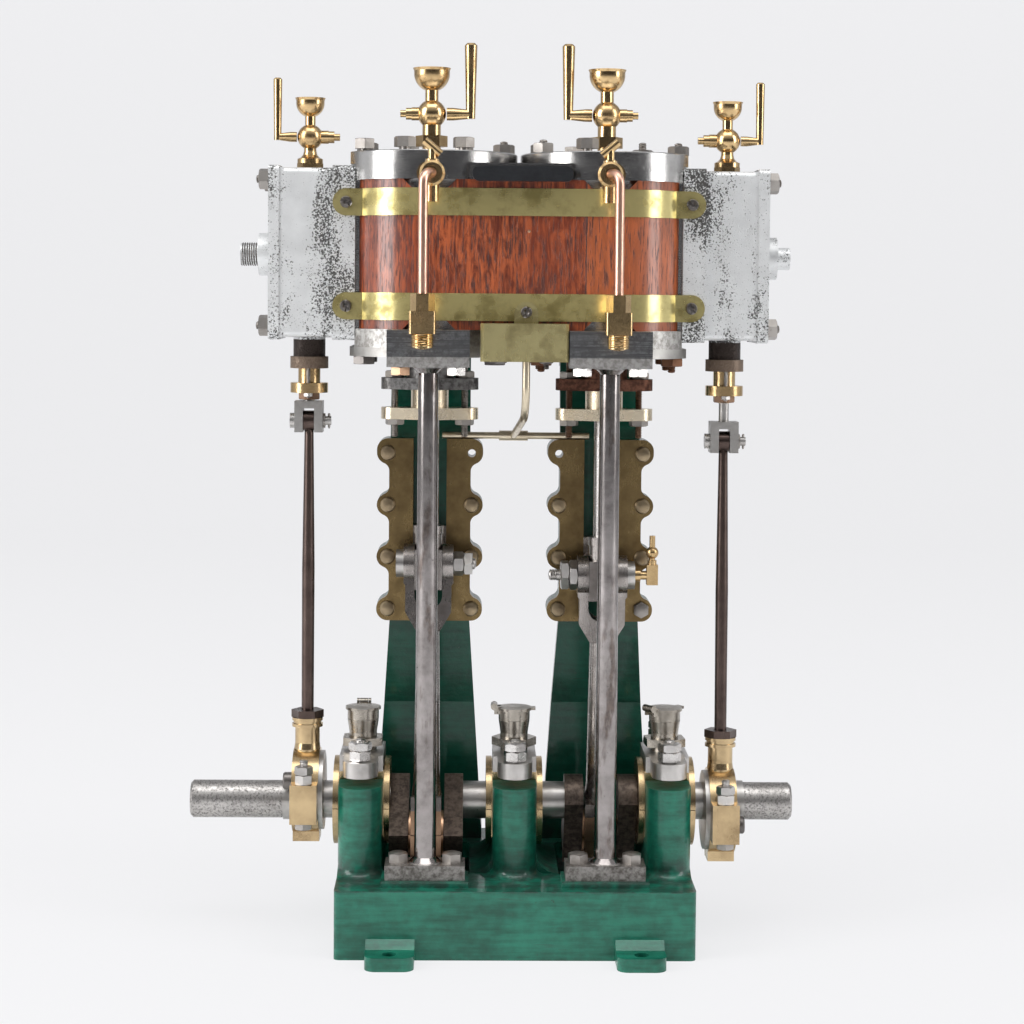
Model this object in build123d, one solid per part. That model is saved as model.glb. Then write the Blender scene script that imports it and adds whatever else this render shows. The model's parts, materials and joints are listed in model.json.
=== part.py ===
from build123d import *
import os
from math import asin, cos, degrees, radians, sin, sqrt

# Twin-cylinder launch steam engine, a model at its own size, in millimetres.
# X runs along the crankshaft, Y points to the rear and Z up, from the bed's underside.
os.makedirs("parts", exist_ok=True)

# Centre lines
PITCH = 74.5                  # between the two cylinder axes
SHAFT_Z = 54.0                # crank axis above the bed's underside
STROKE = 38.0
ROD_CENTRES = 114.0           # connecting rod, eye to eye
WRIST_TO_CYLINDER = 81.5      # mid-stroke wrist pin up to the cylinders' bottom face
CRANK_ANGLE = {"left": 214.0, "right": 304.0}       # crank pin, from +Y towards +Z
ECCENTRIC_THROW = 5.5
ECCENTRIC_ANGLE = {"left": 120.0, "right": 210.0}
SIDE = {"left": -1, "right": 1}

# Clearances
RUNNING = 0.05                # radial, on journals
SLIDING = 0.15                # on flat guides and rods
SPLIT_GAP = 0.3               # between the halves of a brass

# Bed casting
PEDESTAL_WIDTH = 18.4
PIT_LENGTH = 37.0
PIT_WIDTH = 58.0
PIT_CORNER = 4.0
BED_WIDTH = 110.0
BED_HEIGHT = 28.4
BED_WALL = 6.0
BED_TOP = 7.0
BED_CORNER = 2.5
BED_RIB = 6.0
PAD_RISE = 2.5
LUG_X = 51.0
LUG_WIDTH = 20.0
LUG_REACH = 16.0
LUG_THICKNESS = 5.5
LUG_CORNER = 4.5
LUG_WEB_RISE = 3.3
LUG_WEB_REACH = 4.0
LUG_HOLE_D = 6.0
LUG_HOLE_INSET = 6.0          # hole centre in from the lug's tip
BED_LENGTH = PITCH + PIT_LENGTH + 2 * PEDESTAL_WIDTH
BED_END = BED_LENGTH / 2
PEDESTAL_X = BED_END - PEDESTAL_WIDTH / 2

# Main bearings
PEDESTAL_RISE = 11.6          # pedestal top above the crank axis
BEARING_STUD_Y = 25.0
BRASS_WIDTH = 27.0
BRASS_DROP = 13.0             # brass seat below the crank axis
CAP_RISE = 15.5               # cap's underside above the crank axis
CAP_THICKNESS = 6.6
CAP_WAIST = 32.0
CAP_END_WIDTH = 14.6
BRASS_FLANGE_D = 37.6
BRASS_FLANGE = 2.4
BRASS_END_PLAY = 0.4
MIDDLE_FLARE = 9.0            # concave foot beside the middle pedestal
PEDESTAL_FLARE = 3.5          # concave foot round every pedestal's ends

# Crankshaft
SHAFT_D = 16.0
SHAFT_LEFT = 64.4             # overhang beyond the bed's left end
SHAFT_RIGHT = 45.5
SHAFT_CHAMFER = 1.0
SHAFT_GROOVE = 1.0            # relief groove where each eccentric's hub ends
SHAFT_GROOVE_DEPTH = 0.2
WEB_THICKNESS = 8.0
WEB_GAP = 15.0
WEB_WIDTH = 18.0
WEB_BACK_R = 11.2
WEB_BEYOND_PIN = 10.2
CRANK_PIN_D = 14.0

# Connecting rods, measured along the rod from the crank pin or the wrist pin
PALM_START = 10.0
PALM_THICKNESS = 5.8
PALM_WIDTH = 12.7
PALM_DEPTH = 26.0
ROD_BOTTOM_D = 11.3
ROD_TOP_D = 9.8
ROD_FLARE = 6.0
FORK_WIDTH = 21.2
FORK_GAP = 12.0
FORK_EYE_D = 17.0
FORK_ARM_WIDTH = 19.6
FORK_ARM_DEPTH = 11.0
FORK_CROTCH = 19.6
FORK_SHOULDER = 20.8
FORK_ROOT = 29.0
BIG_END_FLANGE_WIDTH = 14.6
BIG_END_FLANGE_D = 19.0
BIG_END_DROP = 11.0
BIG_END_CORNER = 3.0
WRIST_PIN_D = 8.0
WRIST_HEAD_D = 12.0
WRIST_HEAD = 3.3
WRIST_THREAD_D = 4.8
WRIST_THREAD = 9.0

# Cock oiler on the right engine's wrist pin, measured out from the fork's face
WRIST_OILER_COLLAR_D = 5.8
WRIST_OILER_COLLAR = 2.5
WRIST_OILER_NECK_D = 3.8
WRIST_OILER_NECK = 2.7
WRIST_OILER_BLOCK = 4.8
WRIST_OILER_ABOVE = 4.7
WRIST_OILER_BELOW = 4.0
WRIST_OILER_CAP = 1.9
WRIST_OILER_BALL_D = 5.4
WRIST_OILER_BALL = 9.8        # ball's centre above the pin
WRIST_OILER_STEM_D = 2.5
WRIST_OILER_STEM = 4.6

# Crossheads and piston rods
CROSSHEAD_BELOW = 10.4
CROSSHEAD_ABOVE = 6.6
CROSSHEAD_DEPTH = 16.0
CROSSHEAD_NECK_D = 11.9
CROSSHEAD_NECK = 10.0
CROSSHEAD_COLLAR_D = 12.8
CROSSHEAD_COLLAR = 3.4
SLIPPER_WIDTH = 23.0
SLIPPER_LENGTH = 28.0
SLIPPER_WEB = 13.0
PISTON_ROD_D = 8.2

# Guide plates and rear standards
GUIDE_LENGTH = 79.7
GUIDE_RAISE = 1.0             # guide's middle above the mid-stroke wrist pin
GUIDE_FRONT_Y = 17.0
GUIDE_THICKNESS = 3.0
GUIDE_GAP = 14.5
GUIDE_WAIST = 35.5
GUIDE_BOLT_X = 18.2
GUIDE_BOLT_PITCH = 22.7
GUIDE_BOSS_R = 4.9
GUIDE_SCALLOP_R = 3.6
GUIDE_HOLE_D = 3.5
SLIPPER_TRACK = 6.0           # depth of the track behind the plates
SLIPPER_TRACK_WIDTH = 24.0
STANDARD_WIDTH = 35.0
STANDARD_WAIST_WIDTH = 44.3
STANDARD_WAIST_Z = 57.0
STANDARD_FOOT_WIDTH = 47.6
STANDARD_FLANGE = 6.0
STANDARD_WEB = 14.0
STANDARD_HEAD_Y = 33.4
STANDARD_HEAD_HEIGHT = 9.0
STANDARD_BACK_Y = 47.0
STANDARD_WAIST_BACK_Y = 43.0
STANDARD_CLEAR_Y = 36.0       # front face beside the cranks
STANDARD_CLEAR_Z = 90.0
STANDARD_FOOT_Y = 54.0
STANDARD_FOOT_THICKNESS = 6.0

# Front columns
COLUMN_Y = -40.0
COLUMN_TOP_D = 8.3
COLUMN_BOTTOM_D = 9.1
COLUMN_FILLET = 2.5
COLUMN_HEAD_WIDTH = 33.7
COLUMN_HEAD_DEPTH = 14.0
COLUMN_HEAD = 4.2
COLUMN_FOOT_WIDTH = 33.0
COLUMN_FOOT_DEPTH = 15.0
COLUMN_FOOT = 6.1
PAD_MARGIN = 1.5

# Cylinder block and its covers
BARREL_R = 30.0
FLANGE_R = 36.8
TOP_FLANGE = 6.8
BOTTOM_FLANGE = 7.6
BLOCK_HEIGHT = 76.3
COVER_FLAT = 33.5             # outer flat of the covers, from the cylinder axis
BRIDGE_WIDTH = 41.6
BRIDGE_DEPTH = 35.2
LUG_HEAD_WIDTH = 33.8
LUG_HEAD_Y = 47.0
LUG_HEAD_DROP = 3.3
TOP_COVER_R = 36.6
TOP_COVER = 5.2
TOP_COVER_DOME = 0.9
TOP_COVER_DOME_R = 22.0
BOTTOM_COVER = 3.9
BOTTOM_COVER_FLAT = 32.8
STUFFING_D = 20.0
STUFFING_DROP = 9.5
GLAND_SEAT = 4.9
GLAND_LENGTH = 41.5
GLAND_CENTRE_R = 11.0
GLAND_END_R = 6.5
GLAND_GAP = 7.8
GLAND_FLANGE = 4.9
GLAND_BARREL_D = 16.0
GLAND_ENTRY = 9.0
COCK_BOSS_D = 13.0
COCK_BOSS_PROUD = 3.5
COCK_BOSS_TOP = 14.2          # boss centre below the block's top
COCK_BOSS_BOTTOM = 10.9       # boss centre above the block's bottom

TIE_LEFT = 19.7
TIE_RIGHT = 21.5
TIE_LOW = 7.6                 # bar's underside below the block's top
TIE_HEIGHT = 6.0
TIE_THICKNESS = 3.5
TIE_CORNER = 2.6

# Wooden lagging and its bands
LAGGING_R = 34.5
LAGGING_END = 29.45           # end of the wood outside each cylinder axis
NOTCH_TOP_WIDTH = 22.0
NOTCH_WIDTH = 13.6
NOTCH_DEPTH = 6.4
NOTCH_CHAMFER = 4.2
BAND_THICKNESS = 0.8
BAND_HEIGHT = 11.3
UPPER_BAND_DROP = 3.6
LOWER_BAND_RISE = 3.8
BAND_TAB_END = 40.6           # tab's end outside each cylinder axis

# Valve chests
PORT_WIDTH = 35.0
CHEST_INNER = 31.3            # inner face, outside each cylinder axis
CHEST_FLANGE = 9.5
CHEST_BODY = 20.6
CHEST_WIDTH = 40.0
CHEST_BODY_WIDTH = 37.0
CHEST_MARGIN = 1.0
CHEST_RAISE = 2.7             # chest's bottom above the block's bottom
CHEST_DROP = 0.7              # chest's top below the block's top
CHEST_CORNER = 2.5
CHEST_GASKET = 1.7
CHEST_COVER = 4.5
STEAM_RAISE = 35.8            # steam inlet above the chest's bottom
STEAM_FLANGE_D = 18.0
STEAM_FLANGE = 5.2
STEAM_NIPPLE_D = 9.4
STEAM_BORE_D = 6.0
STEAM_BORE_DEPTH = 16.0
STEAM_NIPPLE = {"left": 7.8, "right": 5.7}

# Valve gear
VALVE_OFFSET = 51.45          # valve spindle outside each cylinder axis
VALVE_BOSS_D = 13.6
VALVE_BOSS = 7.4
VALVE_COLLAR_D = 16.2
VALVE_COLLAR = 5.0
VALVE_GLAND_D = 9.4
VALVE_GLAND_SPACE = 6.2
VALVE_GLAND_FLANGE_D = 16.0
VALVE_GLAND_FLANGE = 4.2
VALVE_GLAND_NECK_D = 6.6
VALVE_GLAND_NECK = 3.1
VALVE_SPINDLE_D = 4.3
VALVE_SPINDLE_ENTRY = 8.0
VALVE_PIN_DROP = 39.6         # mid-travel valve pin below the chest
CLEVIS_ABOVE = 8.5
CLEVIS_BELOW = 4.8
CLEVIS_WIDTH = 12.0
CLEVIS_DEPTH = 9.6
CLEVIS_SLOT = 4.8
CLEVIS_SLOT_TOP = 5.4
VALVE_PIN_D = 3.9
VALVE_PIN_HEAD_D = 6.5
VALVE_PIN_HEAD = 2.1
VALVE_PIN_TAIL = 3.4
ECC_ROD_EYE_D = 8.6
ECC_ROD_TOP_D = 3.8
ECC_ROD_MIDDLE_D = 5.4
ECC_ROD_BOTTOM_D = 5.2
ECC_NUT_ACROSS = 12.0
ECC_NUT = 3.2
STRAP_WIDTH = 11.3
STRAP_INNER_R = 14.7
STRAP_OUTER_R = 18.0
STRAP_LUG_REACH = 25.5
STRAP_LUG_ABOVE = 6.6
STRAP_LUG_BELOW = 9.8
STRAP_TOE = 21.0
STRAP_TOE_WIDTH = 13.0
STRAP_SOCKET_D = 10.6
STRAP_SOCKET_TOP = 31.4
STRAP_COLLAR_D = 13.2
STRAP_COLLAR = 1.3
STRAP_FLARE = 2.5
SHEAVE_FLANGE_R = 16.8
SHEAVE_FLANGE = 1.8
SHEAVE_HUB_D = 17.4
SHEAVE_HUB = 4.6

# Bearing oilers
OILER_NECK_D = 11.6
OILER_NECK = 2.1
OILER_HEX = 16.6
OILER_HEX_HEIGHT = 3.4
OILER_D = 11.8
OILER_TOP_D = 13.4
OILER_GROOVE = 0.35
OILER_SKIRT = 4.2             # groove below the oiler's top
OILER_BODY = 11.7
OILER_WALL = 1.1
OILER_FLOOR = 1.2
LID_D = 15.1
LID_THICKNESS = 1.1
LID_DOME = 0.5
LID_REST = 0.1
LID_LIP = 1.6
LID_LIP_WIDTH = 4.0
HINGE_R = 1.5
HINGE_OUT = 8.6               # lid hinge from the oiler's axis
HINGE_RAISE = 1.6
KNUCKLE_LENGTH = 3.6
EAR_THICKNESS = 1.1
HINGE_AZIMUTH = {"left": 90.0, "middle": 180.0, "right": 215.0}

# Cylinder and chest lubricators, a ball cock under an open cup, measured from the ball's centre
CUP = {
    "cylinder": {"raise": 16.2, "ball": 12.2, "stem": 7.8, "hex": 11.8, "hex_height": 4.6, "neck": 5.6,
                 "bowl": 15.2, "bowl_centre": 17.0, "rim": 16.2, "rim_top": 19.3},
    "chest": {"raise": 13.7, "ball": 10.8, "stem": 5.2, "hex": 9.6, "hex_height": 2.5, "neck": 4.4,
              "bowl": 12.0, "bowl_centre": 14.3, "rim": 12.9, "rim_top": 16.5},
}
BOWL_WALL = 0.7
CUP_BASE = 2.3                # hexagon above the seat
FOOT_D = 10.8                 # round foot of a chest lubricator
FOOT = 1.9
FOOT_FLARE = 3.4
CUP_LEVER = {
    "cylinder": {"reach": 16.5, "top": 30.0, "lower": 3.9, "tip": 5.4, "arm": 3.8, "collar": 5.4},
    "chest": {"reach": 13.8, "top": 24.9, "lower": 3.1, "tip": 3.7, "arm": 2.7, "collar": 4.2},
}
LEVER_COLLAR = 2.6
LEVER_PLUG_GAP = 0.3
PLUG_NUT = 2.4
PLUG_NUT_D = 5.6
PLUG_TIP_D = 3.0

# Oil box and oil pipes
OIL_BOX_LEFT = 16.0
OIL_BOX_RIGHT = 20.0
OIL_BOX_DEPTH = 10.5
OIL_BOX_HEIGHT = 15.5
OIL_BOX_DROP = 5.0            # box's underside below the block's bottom
OIL_BOX_CHAMFER = 1.2
OIL_TAB_WIDTH = 9.9
OIL_TAB_RISE = 9.0
OIL_TAB_THICKNESS = 1.5
OIL_TAB_X = 2.8
OIL_PIPE_D = 3.0
OIL_FEED_D = 3.2
OIL_FEED_BEND = 14.0
OIL_FEED_DROP = 22.0
OIL_TEE_X = -1.0
OIL_TEE_LENGTH = 12.5
OIL_TEE_D = 4.4
OIL_PIPE_REACH = 32.0

# Cylinder cocks and their pipes, mirrored about the middle
COCK_BODY_D = 10.2
COCK_BODY_Y = -50.0
COCK_BODY_BACK_Y = -41.5
COCK_NUT = 3.2                # ring nut that holds the pipe's end
COCK_NUT_D = 10.4
COCK_NUT_MOUTH = 1.0
COCK_WAIST_D = 8.0
COCK_WAIST = 1.0
COCK_SPIGOT_D = 6.0
COCK_DROP = 5.1               # cock axis below the block's top
COCK_PLUG_D = 5.6
COCK_PLUG_ABOVE = 5.8
COCK_PLUG_BELOW = 11.5
COCK_PLUG_X = 1.2             # plug nearer the middle than the cock's bore
COCK_HANDLE_D = 3.6
COCK_HANDLE_LENGTH = 8.5
COCK_HANDLE_LEAN = 50.0
COCK_STEM_D = 3.4
COCK_STEM = 4.6
COCK_PIPE_D = 3.85
COCK_PIPE_OUT = 2.2           # pipe's run outside the cylinder axis
COCK_PIPE_Y = -56.5
COCK_PIPE_BEND = 5.0
UNION_NUT = 8.6
UNION_NUT_HEIGHT = 7.0
ELBOW_WIDTH = 10.7
ELBOW_HEIGHT = 9.1
ELBOW_BOSS_D = 8.4
ELBOW_NECK_D = 6.0
ELBOW_STEM_D = 3.4
ELBOW_CORNER = 1.2
ELBOW_SPIGOT_D = 8.6
ELBOW_SPIGOT = 5.5

# Levels and positions that follow from the sizes above
GUIDE_Z = SHAFT_Z + ROD_CENTRES + GUIDE_RAISE
GUIDE_BACK_Y = GUIDE_FRONT_Y + GUIDE_THICKNESS
STANDARD_FACE_Y = GUIDE_BACK_Y + SLIPPER_TRACK
BLOCK_Z = SHAFT_Z + ROD_CENTRES + WRIST_TO_CYLINDER
BLOCK_TOP = BLOCK_Z + BLOCK_HEIGHT
LUG_HEAD_Z = BLOCK_Z - LUG_HEAD_DROP
CAP_Z = SHAFT_Z + CAP_RISE
CAP_TOP = CAP_Z + CAP_THICKNESS
CHEST_Z = BLOCK_Z + CHEST_RAISE
CHEST_TOP = BLOCK_TOP - CHEST_DROP
WOOD_Z = BLOCK_Z + BOTTOM_FLANGE
WOOD_TOP = BLOCK_TOP - TOP_FLANGE
CYLINDER_X = PITCH / 2
VALVE_X = CYLINDER_X + VALVE_OFFSET
ELBOW_Z = BLOCK_Z + COCK_BOSS_BOTTOM
CHEST_X = CYLINDER_X + CHEST_INNER
ECC_ROD_CENTRES = CHEST_Z - VALVE_PIN_DROP - SHAFT_Z
STUFFING_BOTTOM = BLOCK_Z - BOTTOM_COVER - STUFFING_DROP - GLAND_SEAT
GLAND_Z = STUFFING_BOTTOM - GLAND_GAP - GLAND_FLANGE
GUIDE_TOP = GUIDE_Z + GUIDE_LENGTH / 2
ON_FLOOR = (Align.CENTER, Align.CENTER, Align.MIN)


def block(x0, x1, y0, y1, z0, z1):
    """A rectangular block between two corners."""
    middle = Pos((x0 + x1) / 2, (y0 + y1) / 2, (z0 + z1) / 2)
    return middle * Box(x1 - x0, y1 - y0, z1 - z0)


def upright(radius, z0, z1, x=0, y=0):
    """A cylinder standing at (x, y) from z0 to z1."""
    return Pos(x, y, z0) * Cylinder(radius, z1 - z0, align=ON_FLOOR)


def along_x(radius, x0, x1, y=0, z=0):
    """A cylinder lying along X."""
    return Pos(x0, y, z) * Rot(0, 90, 0) * Cylinder(radius, x1 - x0, align=ON_FLOOR)


def along_y(radius, y0, y1, x=0, z=0):
    """A cylinder lying along Y."""
    return Pos(x, y0, z) * Rot(-90, 0, 0) * Cylinder(radius, y1 - y0, align=ON_FLOOR)


def polygon(*points):
    """A flat outline that faces up whichever way round its points run."""
    outline = Polygon(*points, align=None)
    return outline if outline.face().normal_at().Z > 0 else Polygon(*reversed(points), align=None)


def prism_x(face, x0, x1):
    """A YZ outline carried from x0 to x1."""
    return Pos(x0, 0, 0) * extrude(Plane.YZ * face, amount=x1 - x0)


def prism_y(face, y0, y1):
    """An XZ outline carried from y0 to y1."""
    return Pos(0, y1, 0) * extrude(Plane.XZ * face, amount=y1 - y0)


def prism_z(face, z0, z1):
    """An XY outline carried from z0 to z1."""
    return Pos(0, 0, z0) * extrude(face, amount=z1 - z0)


def turned(*profile):
    """A solid turned about Z from (radius, height) points, closed on the axis."""
    points = [(0, profile[0][1]), *profile, (0, profile[-1][1])]
    return revolve(Plane.XZ * polygon(*points), Axis.Z)


def hexagon(across, z0, z1):
    """A hexagonal prism about Z, measured across its flats."""
    return prism_z(RegularPolygon(across / 2, 6, major_radius=False), z0, z1)


def mirrored(shape):
    """The same piece on the other side of the middle plane."""
    return mirror(shape, Plane.YZ)


def both_sides(shape):
    """The piece and its mirror image, as separate solids."""
    return [shape, mirrored(shape)]


def crank_pin(side):
    """(Y, Z) of a crank pin."""
    angle = radians(CRANK_ANGLE[side])
    return STROKE / 2 * cos(angle), SHAFT_Z + STROKE / 2 * sin(angle)


def wrist_z(side):
    """Height of a wrist pin, on its cylinder's axis."""
    y, z = crank_pin(side)
    return z + sqrt(ROD_CENTRES ** 2 - y ** 2)


def eccentric_centre(side):
    """(Y, Z) of an eccentric sheave."""
    angle = radians(ECCENTRIC_ANGLE[side])
    return ECCENTRIC_THROW * cos(angle), SHAFT_Z + ECCENTRIC_THROW * sin(angle)


def valve_pin_z(side):
    """Height of a valve spindle's pin."""
    y, z = eccentric_centre(side)
    return z + sqrt(ECC_ROD_CENTRES ** 2 - y ** 2)


def lean(offset, length):
    """Turn about X that leans an upright link back to its upper pin."""
    return Rot(degrees(asin(offset / length)), 0, 0)


def save(name, *solids):
    """Write one node; loose solids are kept as one compound."""
    shape = solids[0] if len(solids) == 1 else Compound(children=list(solids))
    export_step(shape, f"parts/{name}.step")


# Bed and main bearings

def pedestal_outline():
    """Plan of a pedestal: straight sides and half-round ends round the studs."""
    ends = Pos(0, BEARING_STUD_Y) * Circle(PEDESTAL_WIDTH / 2)
    ends += Pos(0, -BEARING_STUD_Y) * Circle(PEDESTAL_WIDTH / 2)
    return Rectangle(PEDESTAL_WIDTH, 2 * BEARING_STUD_Y) + ends


def flare_outline(start, reach):
    """Concave corner between a wall at the start and the bed's top."""
    corner = polygon((start, BED_HEIGHT), (start + reach, BED_HEIGHT), (start, BED_HEIGHT + reach))
    return corner - Pos(start + reach, BED_HEIGHT + reach) * Circle(reach)


def pedestal_flare(x, y):
    """Concave foot turned round one end of a pedestal, cut off at the bed's end."""
    core = PEDESTAL_WIDTH / 2
    profile = flare_outline(core, PEDESTAL_FLARE) + Pos(core / 2, BED_HEIGHT + PEDESTAL_FLARE / 2) * Rectangle(
        core, PEDESTAL_FLARE)
    foot = Pos(x, y) * revolve(Plane.XZ * profile, Axis.Z)
    return foot & block(-BED_END, BED_END, -BED_WIDTH / 2, BED_WIDTH / 2, BED_HEIGHT, SHAFT_Z)


def bed_lug(x, y_side):
    """A holding-down lug with a sloped web where it meets the bed's wall."""
    edge = BED_WIDTH / 2
    tip = edge + LUG_REACH
    length = LUG_REACH + BED_WALL
    plan = Pos(x, tip - length / 2) * Rectangle(LUG_WIDTH, length)
    corners = plan.vertices().group_by(Axis.Y)[-1]
    lug = prism_z(fillet(corners, LUG_CORNER), 0, LUG_THICKNESS)
    slope = polygon((edge - BED_WALL, LUG_THICKNESS), (edge + LUG_WEB_REACH, LUG_THICKNESS),
                    (edge, LUG_THICKNESS + LUG_WEB_RISE), (edge - BED_WALL, LUG_THICKNESS + LUG_WEB_RISE))
    lug += prism_x(slope, x - LUG_WIDTH / 2, x + LUG_WIDTH / 2)
    lug -= upright(LUG_HOLE_D / 2, 0, LUG_THICKNESS, x, tip - LUG_HOLE_INSET)
    return lug if y_side > 0 else mirror(lug, Plane.XZ)


def bedplate():
    bed = prism_z(RectangleRounded(BED_LENGTH, BED_WIDTH, BED_CORNER), 0, BED_HEIGHT)
    hollow = prism_z(Rectangle(BED_LENGTH - 2 * BED_WALL, BED_WIDTH - 2 * BED_WALL),
                     0, BED_HEIGHT - BED_TOP)
    for x in (-CYLINDER_X - PIT_LENGTH / 2, 0, CYLINDER_X + PIT_LENGTH / 2):
        hollow -= block(x - BED_RIB / 2, x + BED_RIB / 2, -BED_WIDTH / 2, BED_WIDTH / 2, 0, BED_HEIGHT)
    bed -= hollow
    for s in SIDE.values():
        pad = Rectangle(COLUMN_FOOT_WIDTH + 2 * PAD_MARGIN, COLUMN_FOOT_DEPTH + 2 * PAD_MARGIN)
        bed += prism_z(Pos(s * CYLINDER_X, COLUMN_Y) * pad, BED_HEIGHT, BED_HEIGHT + PAD_RISE)
    top = SHAFT_Z + PEDESTAL_RISE
    for x in (-PEDESTAL_X, 0, PEDESTAL_X):
        bed += prism_z(Pos(x, 0) * pedestal_outline(), BED_HEIGHT - BED_TOP, top)
        bed += pedestal_flare(x, BEARING_STUD_Y) + pedestal_flare(x, -BEARING_STUD_Y)
    foot = flare_outline(PEDESTAL_WIDTH / 2, MIDDLE_FLARE)
    foot = prism_y(foot, -BEARING_STUD_Y, BEARING_STUD_Y)
    bed += foot + mirrored(foot)
    for s in SIDE.values():
        pit = Pos(s * CYLINDER_X, 0) * RectangleRounded(PIT_LENGTH, PIT_WIDTH, PIT_CORNER)
        bed -= prism_z(pit, 0, SHAFT_Z)
    seat_z = SHAFT_Z - BRASS_DROP
    bed -= block(-BED_END, BED_END, -BRASS_WIDTH / 2, BRASS_WIDTH / 2, seat_z, top)
    for x in (-LUG_X, LUG_X):
        bed += bed_lug(x, 1) + bed_lug(x, -1)
    return bed


def bearing_brasses(x):
    """Upper and lower halves of one main bearing, split on the shaft's centre line."""
    half_length = PEDESTAL_WIDTH / 2 + BRASS_END_PLAY
    body = block(x - half_length, x + half_length, -BRASS_WIDTH / 2, BRASS_WIDTH / 2,
                 SHAFT_Z - BRASS_DROP, CAP_Z)
    for s in SIDE.values():
        inner, outer = sorted((x + s * half_length, x + s * (half_length + BRASS_FLANGE)))
        body += along_x(BRASS_FLANGE_D / 2, inner, outer, 0, SHAFT_Z)
    reach = half_length + BRASS_FLANGE
    body -= along_x(SHAFT_D / 2 + RUNNING, x - reach, x + reach, 0, SHAFT_Z)
    wide = BRASS_FLANGE_D
    gap = SPLIT_GAP / 2
    upper = body & block(x - reach, x + reach, -wide, wide, SHAFT_Z + gap, SHAFT_Z + wide)
    lower = body & block(x - reach, x + reach, -wide, wide, SHAFT_Z - wide, SHAFT_Z - gap)
    return [upper, lower]


def bearing_cap(x):
    """The keep across a bearing: full width over the brasses, narrower round ends."""
    plan = Rectangle(PEDESTAL_WIDTH, CAP_WAIST) + Rectangle(CAP_END_WIDTH, 2 * BEARING_STUD_Y)
    for y in (-BEARING_STUD_Y, BEARING_STUD_Y):
        plan += Pos(0, y) * Circle(CAP_END_WIDTH / 2)
    return prism_z(Pos(x, 0) * plan, CAP_Z, CAP_TOP)


# Crankshaft and connecting rods

def crank_web():
    """A web with its crank pin towards +Y: round behind the shaft, square beyond the pin."""
    reach = STROKE / 2 + WEB_BEYOND_PIN
    round_back = Circle(WEB_BACK_R) & Pos(-WEB_BACK_R / 2, 0) * Rectangle(WEB_BACK_R, WEB_WIDTH)
    bar = Pos(reach / 2, 0) * Rectangle(reach, WEB_WIDTH)
    return prism_x(round_back + bar, 0, WEB_THICKNESS)


def crankshaft():
    left = BED_END + SHAFT_LEFT
    right = BED_END + SHAFT_RIGHT
    shaft = along_x(SHAFT_D / 2, -left, right, 0, SHAFT_Z)
    shaft = chamfer(shaft.edges().filter_by(GeomType.CIRCLE), SHAFT_CHAMFER)
    for side, s in SIDE.items():
        hub_end = s * (VALVE_X + STRAP_WIDTH / 2 + SHEAVE_HUB)
        near, far = hub_end - SHAFT_GROOVE / 2, hub_end + SHAFT_GROOVE / 2
        groove = along_x(SHAFT_D, near, far, 0, SHAFT_Z)
        shaft -= groove - along_x(SHAFT_D / 2 - SHAFT_GROOVE_DEPTH, near, far, 0, SHAFT_Z)
        x = s * CYLINDER_X
        shaft -= along_x(SHAFT_D, x - WEB_GAP / 2, x + WEB_GAP / 2, 0, SHAFT_Z)
        turn = Pos(0, 0, SHAFT_Z) * Rot(CRANK_ANGLE[side], 0, 0)
        shaft += Pos(x + WEB_GAP / 2, 0, 0) * turn * crank_web()
        shaft += Pos(x - WEB_GAP / 2 - WEB_THICKNESS, 0, 0) * turn * crank_web()
        y, z = crank_pin(side)
        shaft += along_x(CRANK_PIN_D / 2, x - WEB_GAP / 2, x + WEB_GAP / 2, y, z)
    return shaft


def rod_fork():
    """The forked top end: two flat cheeks that close in a round crotch, eyes at the origin."""
    half, inner, arm = FORK_WIDTH / 2, FORK_GAP / 2, FORK_ARM_WIDTH / 2
    eye = FORK_EYE_D / 2
    neck = ROD_TOP_D / 2
    front = polygon((-half, eye), (-half, -eye), (-arm, -eye - 1), (-arm, -FORK_SHOULDER), (-neck, -FORK_ROOT),
                    (neck, -FORK_ROOT), (arm, -FORK_SHOULDER), (arm, -eye - 1), (half, -eye), (half, eye))
    crotch = inner - FORK_CROTCH
    front -= Pos(0, (eye + crotch) / 2) * Rectangle(FORK_GAP, eye - crotch) + Pos(0, crotch) * Circle(inner)
    depth = FORK_ARM_DEPTH / 2
    edge = Circle(eye) + polygon((-depth, 0), (depth, 0), (neck, -FORK_ROOT), (-neck, -FORK_ROOT))
    fork = prism_y(front, -eye, eye) & prism_x(edge, -half, half)
    return fork - along_x(WRIST_PIN_D / 2 + RUNNING, -half, half)


def connecting_rod(side):
    """Palm, tapered round shank and fork, stood up along Z and leant to the crank pin."""
    palm_top = PALM_START + PALM_THICKNESS
    shank_top = ROD_CENTRES - FORK_ROOT
    rod = Pos(0, 0, PALM_START) * Box(PALM_WIDTH, PALM_DEPTH, PALM_THICKNESS, align=ON_FLOOR)
    shank = turned((PALM_WIDTH / 2, palm_top), (ROD_BOTTOM_D / 2, palm_top + ROD_FLARE),
                   (ROD_TOP_D / 2, shank_top))
    rod += shank + Pos(0, 0, ROD_CENTRES) * rod_fork()
    y, z = crank_pin(side)
    return Pos(SIDE[side] * CYLINDER_X, y, z) * lean(y, ROD_CENTRES) * rod


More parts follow.
